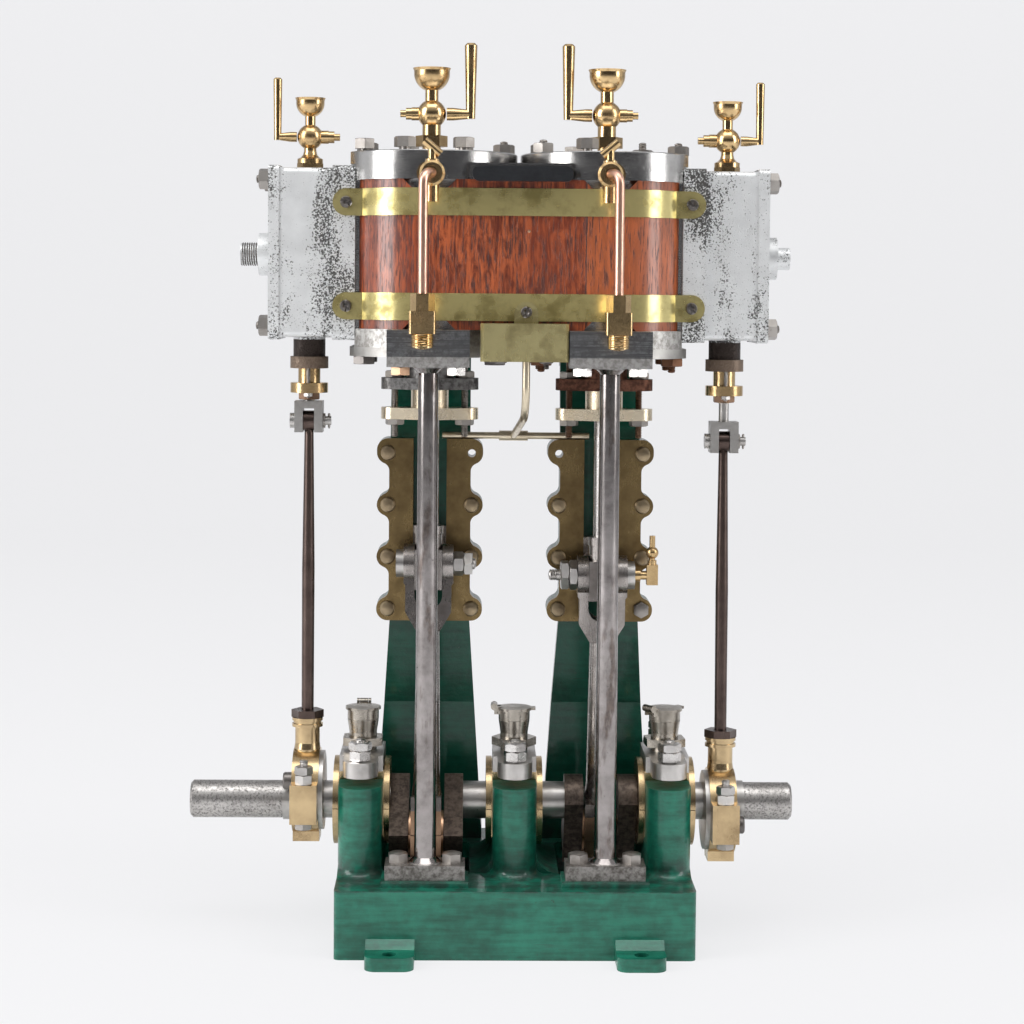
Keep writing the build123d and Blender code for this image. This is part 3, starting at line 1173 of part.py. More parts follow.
def oil_box():
    """Bevelled brass box hung on a round-topped tab in front of the lower band."""
    back = -LAGGING_R - BAND_THICKNESS - OIL_TAB_THICKNESS
    z0 = BLOCK_Z - OIL_BOX_DROP
    z1 = z0 + OIL_BOX_HEIGHT
    box = block(-OIL_BOX_LEFT, OIL_BOX_RIGHT, back - OIL_BOX_DEPTH, back, z0, z1)
    front_edges = box.edges().filter_by(Axis.Z).group_by(Axis.Y)[0]
    box = chamfer(front_edges, OIL_BOX_CHAMFER)
    half = OIL_TAB_WIDTH / 2
    round_z = z1 + OIL_TAB_RISE - half
    tab = Pos(OIL_TAB_X, (z0 + round_z) / 2) * Rectangle(2 * half, round_z - z0)
    tab += Pos(OIL_TAB_X, round_z) * Circle(half)
    return box + prism_y(tab, back, back + OIL_TAB_THICKNESS)


def pipe(diameter, bend, *points):
    """A round pipe through the points, with equal bends."""
    path = FilletPolyline(*points, radius=bend)
    return sweep(Plane(path @ 0, z_dir=path % 0) * Circle(diameter / 2), path=path)


def oil_pipes():
    """Feed from the box down and back to a tee, and the cross pipe lying on the guides."""
    y = GUIDE_FRONT_Y + GUIDE_THICKNESS / 2
    z = GUIDE_TOP + OIL_PIPE_D / 2
    box_y = -LAGGING_R - BAND_THICKNESS - OIL_TAB_THICKNESS - OIL_BOX_DEPTH / 2
    box_z = BLOCK_Z - OIL_BOX_DROP
    tee_r = OIL_TEE_D / 2
    feed = pipe(OIL_FEED_D, OIL_FEED_BEND, (OIL_TAB_X, box_y, box_z),
                (OIL_TAB_X, box_y, box_z - OIL_FEED_DROP), (OIL_TEE_X, y, z))
    cross = along_x(OIL_PIPE_D / 2, -OIL_PIPE_REACH, OIL_PIPE_REACH, y, z)
    tee = along_x(tee_r, OIL_TEE_X - OIL_TEE_LENGTH / 2, OIL_TEE_X + OIL_TEE_LENGTH / 2, y, z)
    return feed + cross + tee


def cylinder_cock():
    """Right-hand cock: ring nut, waist and round body screwed into the top flange, with its upright plug."""
    x, z = CYLINDER_X, BLOCK_TOP - COCK_DROP
    nut_y = COCK_BODY_Y + COCK_NUT
    waist_y = nut_y + COCK_WAIST
    nut, mouth, centre = COCK_NUT_D / 2, COCK_NUT_MOUTH, x - COCK_PLUG_X
    ring = turned((nut - mouth, 0), (nut, mouth), (nut, COCK_NUT))
    ring -= upright(COCK_PIPE_D / 2 + mouth, 0, mouth)
    body = Pos(centre, COCK_BODY_Y, z) * Rot(-90, 0, 0) * ring
    body += along_y(COCK_WAIST_D / 2, nut_y, waist_y, x, z)
    body += along_y(COCK_BODY_D / 2, waist_y, COCK_BODY_BACK_Y, x, z)
    body += along_y(COCK_SPIGOT_D / 2, COCK_BODY_BACK_Y, -FLANGE_R, x, z)
    y = (COCK_BODY_Y + COCK_BODY_BACK_Y) / 2
    body += upright(COCK_PLUG_D / 2, z - COCK_PLUG_BELOW, z + COCK_PLUG_ABOVE - SLIDING, x - COCK_PLUG_X, y)
    return body


def cock_handle():
    """Short leaning handle on the plug's stem."""
    x, z = CYLINDER_X - COCK_PLUG_X, BLOCK_TOP - COCK_DROP + COCK_PLUG_ABOVE
    y = (COCK_BODY_Y + COCK_BODY_BACK_Y) / 2
    stem = upright(COCK_STEM_D / 2, z, z + COCK_STEM, x, y)
    bar = Cylinder(COCK_HANDLE_D / 2, COCK_HANDLE_LENGTH)
    return stem + Pos(x, y, z + COCK_STEM) * Rot(0, COCK_HANDLE_LEAN, 0) * bar


def drain_pipe():
    """Copper pipe from the cock's front down to a union nut on the lower elbow."""
    x, top = CYLINDER_X, BLOCK_TOP - COCK_DROP
    run_x = x + COCK_PIPE_OUT
    nut_top = ELBOW_Z + ELBOW_HEIGHT / 2 + UNION_NUT_HEIGHT
    return pipe(COCK_PIPE_D, COCK_PIPE_BEND, (x - COCK_PLUG_X, COCK_BODY_Y, top), (run_x, COCK_PIPE_Y, top),
                (run_x, COCK_PIPE_Y, nut_top))


def drain_elbow():
    """Lower elbow: square block with a boss behind, a union nut above and a spigot below."""
    x, y, z = CYLINDER_X + COCK_PIPE_OUT, COCK_PIPE_Y, ELBOW_Z
    half = ELBOW_WIDTH / 2
    low, high = z - ELBOW_HEIGHT / 2, z + ELBOW_HEIGHT / 2
    body = block(x - half, x + half, y - half, y + half, low, high)
    body = fillet(body.edges().filter_by(Axis.Z), ELBOW_CORNER)
    body += along_y(ELBOW_BOSS_D / 2, y, -LUG_HEAD_Y - SLIDING, x, z)
    body += along_y(ELBOW_NECK_D / 2, -LUG_HEAD_Y - SLIDING, -LAGGING_R - 2 * BAND_THICKNESS, x, z)
    stem_z = WOOD_Z + LOWER_BAND_RISE / 2
    body += along_y(ELBOW_STEM_D / 2, y, -BARREL_R - COCK_BOSS_PROUD, x, stem_z)
    body += Pos(x, y, 0) * hexagon(UNION_NUT, high, high + UNION_NUT_HEIGHT)
    body += upright(ELBOW_SPIGOT_D / 2, low - ELBOW_SPIGOT, low, x, y)
    return body


def build():
    save("bedplate", bedplate())
    bearings = [x for x in OILER_X.values()]
    save("main_bearing_brasses", *[half for x in bearings for half in bearing_brasses(x)])
    save("bearing_caps", *[bearing_cap(x) for x in bearings])
    save("crankshaft", crankshaft())
    save("front_columns", *[front_column(side) for side in SIDE])
    save("big_end_brasses", *[half for side in SIDE for half in big_end_brasses(side)])
    save("wrist_pins", *[wrist_pin(side) for side in SIDE])
    save("wrist_oiler", wrist_oiler())
    save("crossheads", *[crosshead(side) for side in SIDE])
    save("piston_rods", *[piston_rod(side) for side in SIDE])
    save("crosshead_guides", *[plate for side in SIDE for plate in guide_plates(side)])
    save("valve_spindles", *[valve_spindle(side) for side in SIDE])
    save("eccentric_rods", *[eccentric_rod(side) for side in SIDE])
    save("eccentric_straps", *[eccentric_strap(side) for side in SIDE])
    save("eccentric_sheaves", *[eccentric_sheave(side) for side in SIDE])
    save("cylinder_block", cylinder_block())
    save("top_covers", *both_sides(top_cover()))
    save("bottom_covers", *both_sides(bottom_cover()))
    save("piston_glands", *both_sides(piston_gland()))
    save("valve_glands", *both_sides(valve_gland()))
    save("lagging", lagging())
    bands = band(WOOD_TOP - UPPER_BAND_DROP - BAND_HEIGHT) + band(WOOD_Z + LOWER_BAND_RISE)
    save("lagging_bands", *bands)
    save("tie_bar", tie_bar())
    save("oil_box", oil_box())
    save("oil_pipes", oil_pipes())
    save("cylinder_cocks", *both_sides(cylinder_cock()))
    save("drain_pipes", *both_sides(drain_pipe()))
    save("drain_elbows", *both_sides(drain_elbow()))
    for side in SIDE:
        other = (lambda shape: shape) if side == "right" else mirrored
        save(f"{side}_standard", standard(side))
        save(f"{side}_connecting_rod", connecting_rod(side))
        save(f"{side}_valve_chest", other(valve_chest()))
        save(f"{side}_chest_cover", chest_cover(side))
        save(f"{side}_cock_handle", other(cock_handle()))
        for kind in CUP:
            save(f"{side}_{kind}_cup", other(oil_cup(kind)))
            save(f"{side}_{kind}_cup_lever", other(cup_lever(kind)))
    for name in OILER_X:
        save(f"{name}_oiler", oiler(name))
        save(f"{name}_oiler_lid", oiler_lid(name))


build()
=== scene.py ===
"""Looks of a model twin-cylinder launch steam engine: finishes, fasteners, studio and camera."""
import json
import bpy
import numpy as np
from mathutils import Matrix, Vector


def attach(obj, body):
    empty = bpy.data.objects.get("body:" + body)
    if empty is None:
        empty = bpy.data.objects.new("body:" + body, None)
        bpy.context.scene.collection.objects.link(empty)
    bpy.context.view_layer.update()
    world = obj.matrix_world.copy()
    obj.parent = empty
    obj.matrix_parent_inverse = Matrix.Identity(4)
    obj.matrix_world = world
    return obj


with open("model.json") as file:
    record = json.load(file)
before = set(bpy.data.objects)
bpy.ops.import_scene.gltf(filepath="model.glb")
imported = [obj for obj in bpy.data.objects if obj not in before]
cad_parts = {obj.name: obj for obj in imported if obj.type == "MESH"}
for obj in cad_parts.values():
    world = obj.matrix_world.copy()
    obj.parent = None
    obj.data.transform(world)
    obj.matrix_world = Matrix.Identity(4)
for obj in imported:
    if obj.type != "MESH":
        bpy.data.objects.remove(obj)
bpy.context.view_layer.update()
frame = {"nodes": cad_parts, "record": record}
NODES = frame["nodes"]
MM = 0.001


# Measures of the part, in millimetres and degrees

SIDES = (-1, 1)
CYLINDER_X, VALVE_X, PEDESTAL_X, CHEST_FACE, FREE_END_X = 37.25, 88.7, 64.95, 104.85, 95.0
COLUMN_Y, BEARING_STUD_Y, BLOCK_FOOT_Y = -40.0, 25.0, -37.3
SHAFT_Z, SHAFT_RADIUS, STROKE, ROD_CENTRES = 54.0, 8.0, 38.0, 114.0
CRANK_ANGLE = {-1: 214.0, 1: 304.0}
ECCENTRIC_ANGLE = {-1: 120.0, 1: 210.0}
ECCENTRIC_THROW, ECCENTRIC_CENTRES = 5.5, 158.6
BED_TOP, STANDARD_FOOT_TOP, COLUMN_FOOT_TOP, CAP_TOP = 28.4, 34.4, 37.0, 76.1
GLAND_Z, VALVE_GLAND_Z, GLAND_SEAT_TOP, STANDARD_HEAD_LOW = 218.5, 229.4, 236.1, 240.2
GLAND_SEAT_FLANGE, COLUMN_HEAD_Z, COLLAR_TOP, COVER_UNDERSIDE = 241.3, 242.0, 244.8, 245.6
CHEST_UNDERSIDE, LOWER_FLANGE_TOP, COVER_TOP = 252.1, 257.1, 331.0
BAND_MIDDLES = (309.75, 266.55)
GUIDE_BOLT_LEVELS = (134.45, 157.15, 179.85, 202.55)
SEAMS = (-37.6, 27.3)

# Width across flats and height of the nuts and heads
COVER_NUT, LOWER_COVER_NUT, CHEST_NUT = (8.0, 4.3), (8.6, 3.5), (7.8, 4.2)
COLUMN_FOOT_HEAD, COLUMN_HEAD_NUT = (7.5, 3.9), (7.4, 3.5)
STANDARD_FOOT_NUT, STANDARD_HEAD_NUT = (7.5, 4.3), (6.6, 3.5)
CAP_NUT, CAP_LOCKNUT = (8.6, 4.4), (8.6, 3.5)
GLAND_SEAT_NUT, GLAND_NUT = (7.4, 2.9), (7.2, 2.6)
VALVE_GLAND_NUT, VALVE_STUD_NUT = (8.6, 3.0), (3.6, 1.5)
BIG_END_NUT, BIG_END_LOCKNUT, BIG_END_HEAD = (6.6, 3.4), (6.6, 2.6), (6.6, 4.0)
STRAP_NUT, STRAP_LOCKNUT, STRAP_HEAD = (6.8, 4.1), (6.8, 3.5), (6.8, 2.6)
GUIDE_HEXAGON = (6.2, 2.5)
WRIST_NUTS = {-1: (9.0, 4.5, 3.7, 0.9), 1: (11.3, 3.65, 3.65, 4.5)}

# Profiles of turned heads: radius and height
COVER_WASHER = ((2.0, -0.3), (2.0, 1.4))
DOMED_TOP = ((3.4, 0.0), (2.6, 0.45), (1.0, 0.7))
WORN_HEAD = ((3.35, 0.0), (3.25, 1.3), (2.7, 2.0), (1.5, 2.4), (0.5, 2.5))
BOX_HEAD = ((3.0, 0.0), (2.8, 0.5), (1.7, 0.9), (0.5, 1.0))
NAIL = ((0.6, -0.5), (0.6, 0.1), (0.3, 0.2))
SET_SCREW = ((3.7, 0.0), (3.7, 3.4), (3.2, 4.0))
CLEVIS_WASHER = ((3.2, 0.0), (3.2, 0.9))
SPLIT_PIN = ((0.2, 0.0), (0.55, 0.3), (0.5, 6.0), (0.2, 6.6))

# Cover nuts from each cylinder's axis: across and back, and for the seated ones the stud's end
RAISED_NUTS = {
    -1: ((-27.7, -14.4), (-27.7, 14.4), (-10.4, -29.4), (-10.4, 29.4), (13.8, -28.0), (13.8, 28.0)),
    1: ((-9.7, -29.6), (-12.6, 28.5), (-27.4, 14.6)),
}
SEATED_NUTS = {
    -1: ((30.8, 0.0, 1.0),),
    1: ((-27.4, -14.6, 1.0), (30.6, 0.0, 1.0), (17.3, 26.0, 2.8)),
}


# Shader maths

class Shade:
    """A socket of a node tree. Expressions on it add Math nodes."""

    def __init__(self, tree, socket=None):
        self.tree = tree
        self.socket = socket

    def node(self, kind, sockets=None, out=0, **settings):
        """Add a node with its settings, then values or links of its sockets. Returns one output."""
        made = self.tree.nodes.new(kind)
        for key, value in settings.items():
            setattr(made, key, value)
        for key, value in (sockets or {}).items():
            if isinstance(value, Shade):
                self.tree.links.new(value.socket, made.inputs[key])
            elif isinstance(value, tuple) and made.inputs[key].type == "RGBA":
                made.inputs[key].default_value = (*value, 1.0)
            else:
                made.inputs[key].default_value = value
        return Shade(self.tree, made.outputs[out])

    def maths(self, operation, *values):
        """Add one Math node."""
        return self.node("ShaderNodeMath", dict(enumerate(values)), operation=operation)

    def __add__(self, other):
        return self.maths("ADD", self, other)

    def __radd__(self, other):
        return self.maths("ADD", other, self)

    def __sub__(self, other):
        return self.maths("SUBTRACT", self, other)

    def __rsub__(self, other):
        return self.maths("SUBTRACT", other, self)

    def __mul__(self, other):
        return self.maths("MULTIPLY", self, other)

    def __rmul__(self, other):
        return self.maths("MULTIPLY", other, self)

    def __pow__(self, other):
        return self.maths("POWER", self, other)

    def over(self, low, high):
        """Rises from 0 to 1 as this value goes from low to high."""
        return self.node("ShaderNodeMapRange", {"Value": self, "From Min": low, "From Max": high},
                         interpolation_type="SMOOTHSTEP")

    def past(self, level, blur=0.2):
        """1 above a level and 0 below it, blurred by so much on either side."""
        return self.over(level - blur, level + blur)

    def mix(self, low, high):
        """Colour low where this is 0, high where it is 1."""
        return self.node("ShaderNodeMix", {0: self, 6: low, 7: high}, 2, data_type="RGBA")

    def part(self, axis):
        """One coordinate of this vector."""
        return self.node("ShaderNodeSeparateXYZ", {"Vector": self}, axis)


class Finish:
    """One material: Object coordinates, patterns in millimetres and a Principled surface."""

    def __init__(self, name, **fixed):
        self.name = name
        self.material = bpy.data.materials.new(name)
        self.material.use_nodes = True
        tree = self.material.node_tree
        self.surface = tree.nodes["Principled BSDF"]
        for key, value in fixed.items():
            self.socket(key).default_value = value
        self.at = Shade(tree).node("ShaderNodeTexCoord", out="Object")

    def socket(self, key):
        """Input of the surface from its name in small letters with underscores."""
        return self.surface.inputs[key.replace("_", " ").title().replace("Ior", "IOR")]

    def stretched(self, x=1.0, y=1.0, z=1.0):
        """Coordinates with each axis scaled; a small number draws the pattern out along it."""
        return self.at.node("ShaderNodeMapping", {"Vector": self.at, "Scale": (x, y, z)})

    def noise(self, size, detail=3.0, rough=0.55, where=None, warp=0.0):
        """Noise from 0 to 1 whose features are about size millimetres across."""
        return self.at.node("ShaderNodeTexNoise",
                            {"Vector": where or self.at, "Scale": 1.0 / (size * MM), "Detail": detail,
                             "Roughness": rough, "Distortion": warp})

    def along(self, axis):
        """Millimetres along one axis."""
        return self.at.part(axis) * (1.0 / MM)

    def span(self):
        """Millimetres from the middle plane, on either side."""
        return self.at.maths("ABSOLUTE", self.along("X"))

    def give(self, **driven):
        """Drive sockets of the surface with expressions."""
        for key, value in driven.items():
            self.material.node_tree.links.new(value.socket, self.socket(key))
        return self

    def bump(self, height, depth):
        """Raise the surface by depth millimetres where height is 1."""
        normal = self.at.node("ShaderNodeBump", {"Height": height, "Distance": depth * MM, "Strength": 1.0},
                              "Normal")
        return self.give(normal=normal)


# Finishes

def enamel(name, deep, bright, bare):
    """Brushed-on gloss paint: patches, strokes along X, casting lumps, chips, darker patches round the bed's
    top.
    """
    f = Finish(name, specular_ior_level=0.30, coat_weight=0.40, coat_roughness=0.10)
    lumps = f.noise(4.5, 4.0, 0.6)
    strokes = f.noise(3.0, 4.0, 0.65, f.stretched(0.09, 0.5, 1.0))
    patches = f.noise(34.0, 2.0)
    chips = f.noise(3.0, 6.0, 0.72).over(0.655, 0.69) * f.noise(24.0, 2.0).over(0.48, 0.62)
    z = f.along("Z")
    # Darker in patches over the bed's top face, fading out 13.6 mm up whatever stands on it
    low = z.over(BED_TOP - 0.8, BED_TOP - 0.1) * (1.0 - z.over(BED_TOP + 1.6, BED_TOP + 13.6))
    bed_top_darkening = low * f.noise(7.0, 4.0, 0.6).over(0.36, 0.60) * 0.75
    tone = (patches * 0.35 + lumps * 0.25 + strokes * 0.40).over(0.36, 0.64)
    rubbed = strokes.over(0.62, 0.74) * 0.55
    paint = bed_top_darkening.mix(rubbed.mix(tone.mix(deep, bright), bare), bare)
    f.give(base_color=chips.mix(paint, bare),
           roughness=0.24 + 0.22 * lumps + 0.3 * chips + 0.15 * rubbed)
    return f.bump(lumps + 0.35 * strokes - 0.6 * chips, 0.32)


def metal_skin(f, pale, dull, rough, streak=(1.0, 1.0, 1.0), stain=0.35, centre=0.62, grain=0.5,
               spots=0.0, depth=0.03):
    """Colour and roughness of worn metal; its bump is set on the finish."""
    lines = f.noise(grain, 3.0, 0.7, f.stretched(*streak))
    tarnish = f.noise(11.0, 4.0, 0.62).over(centre - stain, centre + stain)
    colour = tarnish.mix(pale, dull)
    roughness = rough + 0.16 * tarnish + 0.10 * lines
    if spots:
        specks = f.noise(1.3, 5.0, 0.7).over(0.72 - 0.16 * spots, 0.76 - 0.14 * spots)
        specks = specks * f.noise(16.0, 2.0).over(0.42, 0.66)
        colour = specks.mix(colour, (0.055, 0.047, 0.042))
        roughness = roughness + 0.25 * specks
        lines = lines - 2.0 * specks
    f.bump(lines, depth)
    return {"base_color": colour, "roughness": roughness}


def worn_metal(name, pale, dull, rough, metallic=1.0, **skin):
    """Machined metal: fine drawn streaks, slow tarnish and, where asked, small dark spots."""
    f = Finish(name, metallic=metallic)
    return f.give(**metal_skin(f, pale, dull, rough, **skin))


def zoned(name, zones, pale, dull, rough, **skin):
    """Worn metal repainted zone by zone: each zone is a mask, a pair of tones and a roughness."""
    f = Finish(name, metallic=1.0)
    look = metal_skin(f, pale, dull, rough, **skin)
    mottle = f.noise(2.2, 5.0, 0.68).over(0.36, 0.66)
    colour, roughness = look["base_color"], look["roughness"]
    for mask, zone_pale, zone_dull, zone_rough in zones(f):
        colour = mask.mix(colour, mottle.mix(zone_pale, zone_dull))
        roughness = roughness + mask * (zone_rough + 0.15 * mottle - roughness)
    return f.give(base_color=colour, roughness=roughness)


def crank_zones(f):
    """Webs and pins, beyond the shaft's own radius, are dark brown-grey; the free ends are pitted."""
    y, z = f.along("Y"), f.along("Z") - SHAFT_Z
    web = ((y * y + z * z) ** 0.5).over(SHAFT_RADIUS + 0.2, SHAFT_RADIUS + 0.8)
    ends = f.span().past(FREE_END_X, 1.0) * f.noise(0.95, 5.0, 0.75).over(0.44, 0.66)
    return [(ends, (0.20, 0.19, 0.185), (0.10, 0.095, 0.09), 0.5),
            (web, (0.150, 0.118, 0.096), (0.070, 0.055, 0.047), 0.42)]


def column_zones(f):
    """Blotches of brown down the shank, head plate paler and rough, foot plate pitted grey."""
    z = f.along("Z")
    brown = f.noise(6.0, 4.0, 0.65, f.stretched(1.0, 1.0, 0.25)).over(0.52, 0.68) * 0.7
    head = z.over(COLUMN_HEAD_Z - 0.6, COLUMN_HEAD_Z - 0.1)
    foot = 1.0 - z.over(COLUMN_FOOT_TOP + 0.2, COLUMN_FOOT_TOP + 0.8)
    return [(brown, (0.115, 0.080, 0.062), (0.055, 0.039, 0.033), 0.15),
            (head, (0.42, 0.41, 0.40), (0.25, 0.24, 0.23), 0.5),
            (foot, (0.30, 0.285, 0.27), (0.13, 0.118, 0.108), 0.46)]


def block_zones(f):
    """Lower flange greyer than the bright top flange, front feet dark and cross-machined."""
    z, y = f.along("Z"), f.along("Y")
    lines = f.noise(0.8, 3.0, 0.7, f.stretched(0.03, 1.0, 1.0)).over(0.35, 0.65)
    low = 1.0 - z.past(LOWER_FLANGE_TOP)
    foot = (0.0 - y).past(-BLOCK_FOOT_Y, 0.3) * low
    cut = lines.mix((0.30, 0.305, 0.31), (0.085, 0.085, 0.088))
    return [(low, (0.46, 0.45, 0.43), (0.25, 0.235, 0.22), 0.40),
            (foot, cut, (0.105, 0.105, 0.108), 0.26 + 0.2 * lines)]


def lower_cover_zones(f):
    """Gland seats under the covers: dark grey on the left, rusty red-brown on the right."""
    low = 1.0 - f.along("Z").past(GLAND_SEAT_FLANGE, 0.3)
    right = f.along("X").past(0.0, 1.0)
    return [(low * (1.0 - right), (0.20, 0.195, 0.19), (0.085, 0.08, 0.078), 0.40),
            (low * right, (0.160, 0.075, 0.050), (0.070, 0.035, 0.026), 0.55)]


def pitted_iron(name):
    """Rubbed cast iron: pale grey skin, dark pits in drifting patches, dark spindle boss below."""
    f = Finish(name, metallic=0.55)
    drift = f.noise(15.0, 3.0, 0.62, f.stretched(1.0, 1.0, 0.35)).over(0.36, 0.68)
    beyond = f.span().over(CHEST_FACE + 0.15, CHEST_FACE + 0.75)
    crowd = 0.24 * drift + 0.055 * f.along("X").past(0.0, 1.0) - 0.14 * beyond
    pits = (f.noise(0.75, 3.0, 0.66) + crowd).over(0.675, 0.755)
    fine = f.noise(0.55, 3.0, 0.7)
    skin = f.noise(9.0, 4.0).mix((0.86, 0.87, 0.87), (0.58, 0.585, 0.585))
    z = f.along("Z")
    boss, collar = 1.0 - z.past(CHEST_UNDERSIDE), 1.0 - z.past(COLLAR_TOP)
    colour = boss.mix(pits.mix(skin, (0.090, 0.088, 0.084)), (0.040, 0.028, 0.023))
    colour = collar.mix(colour, fine.mix((0.25, 0.185, 0.135), (0.13, 0.090, 0.066)))
    f.give(base_color=colour, roughness=0.38 + 0.1 * fine + 0.3 * pits)
    return f.bump(fine * 0.4 - pits, 0.12)


def mahogany(name):
    """Varnished red wood: upright grain, dark pores, seams between staves, a paler stave at the right."""
    f = Finish(name, coat_weight=0.5, coat_roughness=0.14)
    grain = f.noise(1.6, 4.0, 0.62, f.stretched(1.0, 1.0, 0.06), 0.4)
    pores = f.noise(0.6, 3.0, 0.6, f.stretched(1.0, 1.0, 0.08)).over(0.54, 0.62)
    tone = f.noise(14.0, 3.0, 0.5, f.stretched(1.0, 1.0, 0.3))
    figure = f.noise(3.2, 4.0, 0.66, f.stretched(1.0, 1.0, 0.22), 1.4)
    wood = (0.4 * grain + 0.6 * figure).over(0.39, 0.60).mix((0.440, 0.104, 0.034), (0.090, 0.017, 0.008))
    wood = (tone.over(0.38, 0.66) * 0.6).mix(wood, (0.185, 0.034, 0.014))
    x = f.along("X")
    wood = (x.past(SEAMS[1]) * 0.5).mix(wood, (0.46, 0.125, 0.040))
    left_gap, right_gap = (1.0 - f.at.maths("ABSOLUTE", x - seam).over(0.12, 0.30) for seam in SEAMS)
    gap = left_gap + right_gap
    f.give(base_color=(pores * 0.8 + gap).mix(wood, (0.040, 0.009, 0.006)), roughness=0.30 + 0.25 * pores)
    return f.bump(grain * 0.4 - pores - 2.0 * gap, 0.06)


ALONG_X, UPRIGHT, UPRIGHT_FINE = (0.05, 1.0, 1.0), (1.0, 1.0, 0.08), (1.0, 1.0, 0.04)
FINISHES = {finish.name: finish for finish in (
    enamel("bed_paint", (0.002, 0.060, 0.037), (0.012, 0.168, 0.108), (0.018, 0.026, 0.022)),
    # standard_paint is the bed's green made darker all over: painted shade on the rear standards
    enamel("standard_paint", (0.001, 0.040, 0.024), (0.003, 0.080, 0.048), (0.012, 0.018, 0.014)),
    worn_metal("polished_steel", (0.56, 0.54, 0.52), (0.30, 0.275, 0.26), 0.16, spots=0.3),
    worn_metal("machined_steel", (0.50, 0.485, 0.465), (0.27, 0.25, 0.235), 0.28, spots=0.45),
    pitted_iron("cast_iron"),
    worn_metal("brass", (0.64, 0.455, 0.235), (0.38, 0.245, 0.115), 0.13, streak=(1.0, 1.0, 0.3), stain=0.28),
    worn_metal("dull_brass", (0.64, 0.55, 0.24), (0.25, 0.205, 0.075), 0.13, metallic=0.68,
               streak=(0.04, 1.0, 1.0), stain=0.13, centre=0.55, depth=0.010),
    worn_metal("bronze", (0.235, 0.165, 0.075), (0.085, 0.055, 0.026), 0.20, streak=UPRIGHT, spots=0.4),
    worn_metal("copper", (0.80, 0.50, 0.38), (0.52, 0.28, 0.20), 0.22, streak=(1.0, 1.0, 0.2)),
    mahogany("mahogany"),
    worn_metal("nickel", (0.42, 0.385, 0.335), (0.20, 0.178, 0.150), 0.18, spots=0.4),
    worn_metal("blackened_steel", (0.075, 0.078, 0.084), (0.035, 0.035, 0.038), 0.30,
               streak=ALONG_X, depth=0.05),
    zoned("crank_steel", crank_zones, (0.52, 0.50, 0.48), (0.30, 0.28, 0.265), 0.26,
          streak=(0.3, 1.0, 1.0), spots=0.55),
    zoned("column_steel", column_zones, (0.33, 0.306, 0.297), (0.085, 0.071, 0.067), 0.04,
          streak=UPRIGHT_FINE, spots=0.4),
    zoned("block_steel", block_zones, (0.60, 0.59, 0.58), (0.30, 0.29, 0.28), 0.10,
          streak=(0.06, 1.0, 1.0), spots=0.2),
    zoned("lower_cover_steel", lower_cover_zones, (0.42, 0.41, 0.39), (0.22, 0.20, 0.19), 0.34, spots=0.5),
    worn_metal("rod_steel", (0.40, 0.37, 0.35), (0.15, 0.13, 0.12), 0.18, streak=UPRIGHT_FINE, spots=0.5),
    worn_metal("eccentric_rod_steel", (0.115, 0.084, 0.073), (0.048, 0.034, 0.030), 0.22,
               streak=(1.0, 1.0, 0.05), spots=0.6),
    worn_metal("worn_brass", (0.56, 0.42, 0.24), (0.27, 0.185, 0.10), 0.14, spots=0.35),
    worn_metal("olive_brass", (0.56, 0.49, 0.24), (0.24, 0.20, 0.09), 0.16, metallic=0.65,
               streak=UPRIGHT, stain=0.15, centre=0.55, depth=0.012),
    worn_metal("pale_brass", (0.82, 0.71, 0.54), (0.56, 0.46, 0.32), 0.17, spots=0.2),
    worn_metal("pink_brass", (0.62, 0.40, 0.26), (0.30, 0.175, 0.11), 0.26, spots=0.5),
    worn_metal("pale_pipe", (0.66, 0.58, 0.44), (0.40, 0.31, 0.20), 0.24, spots=0.3),
    worn_metal("worn_bronze", (0.37, 0.29, 0.185), (0.19, 0.14, 0.09), 0.32, spots=0.4),
    worn_metal("bright_steel", (0.66, 0.64, 0.62), (0.42, 0.40, 0.38), 0.18, spots=0.2),
    worn_metal("pale_steel", (0.56, 0.54, 0.52), (0.34, 0.32, 0.30), 0.24, spots=0.3),
    worn_metal("dull_steel", (0.40, 0.375, 0.35), (0.20, 0.18, 0.165), 0.32, spots=0.5),
    worn_metal("oily_steel", (0.20, 0.185, 0.175), (0.085, 0.075, 0.070), 0.30, spots=0.5),
    worn_metal("brown_steel", (0.24, 0.155, 0.105), (0.115, 0.070, 0.048), 0.36, spots=0.5),
    worn_metal("rusty_steel", (0.215, 0.110, 0.066), (0.100, 0.050, 0.034), 0.48, spots=0.6),
)}
# CAD nodes whose finish isn't the one their slot names
LOOKS = {
    "crankshaft": "crank_steel", "front_columns": "column_steel", "cylinder_block": "block_steel",
    "bottom_covers": "lower_cover_steel", "left_connecting_rod": "rod_steel",
    "right_connecting_rod": "rod_steel", "eccentric_rods": "eccentric_rod_steel",
    "eccentric_straps": "worn_brass", "oil_box": "olive_brass", "big_end_brasses": "pink_brass",
    "oil_pipes": "pale_pipe", "top_covers": "block_steel", "crossheads": "rod_steel",
    "bearing_caps": "pale_steel", "wrist_pins": "pale_steel", "main_bearing_brasses": "worn_brass",
    "piston_glands": "pale_brass",
}
for subpart in frame["record"]["subparts"]:
    node = NODES[subpart["node"]]
    look = LOOKS.get(subpart["node"], subpart["material_slot"])
    node.data.materials.clear()
    node.data.materials.append(FINISHES[look].material)


# Fasteners

def towards(x, y, z, turn=0.0):
    """Rotation that takes +Z to one of the six main directions, after a turn in degrees about it."""
    axis = np.array([x, y, z], float)
    across = np.array([0.0, 1.0, 0.0]) if x else np.array([1.0, 0.0, 0.0])
    a = np.radians(turn)
    first = across * np.cos(a) + np.cross(axis, across) * np.sin(a)
    return np.stack([first, np.cross(axis, first), axis], axis=1)


def spun(turn):
    """Rotation about +Z by a turn in degrees."""
    return towards(0, 0, 1, turn)


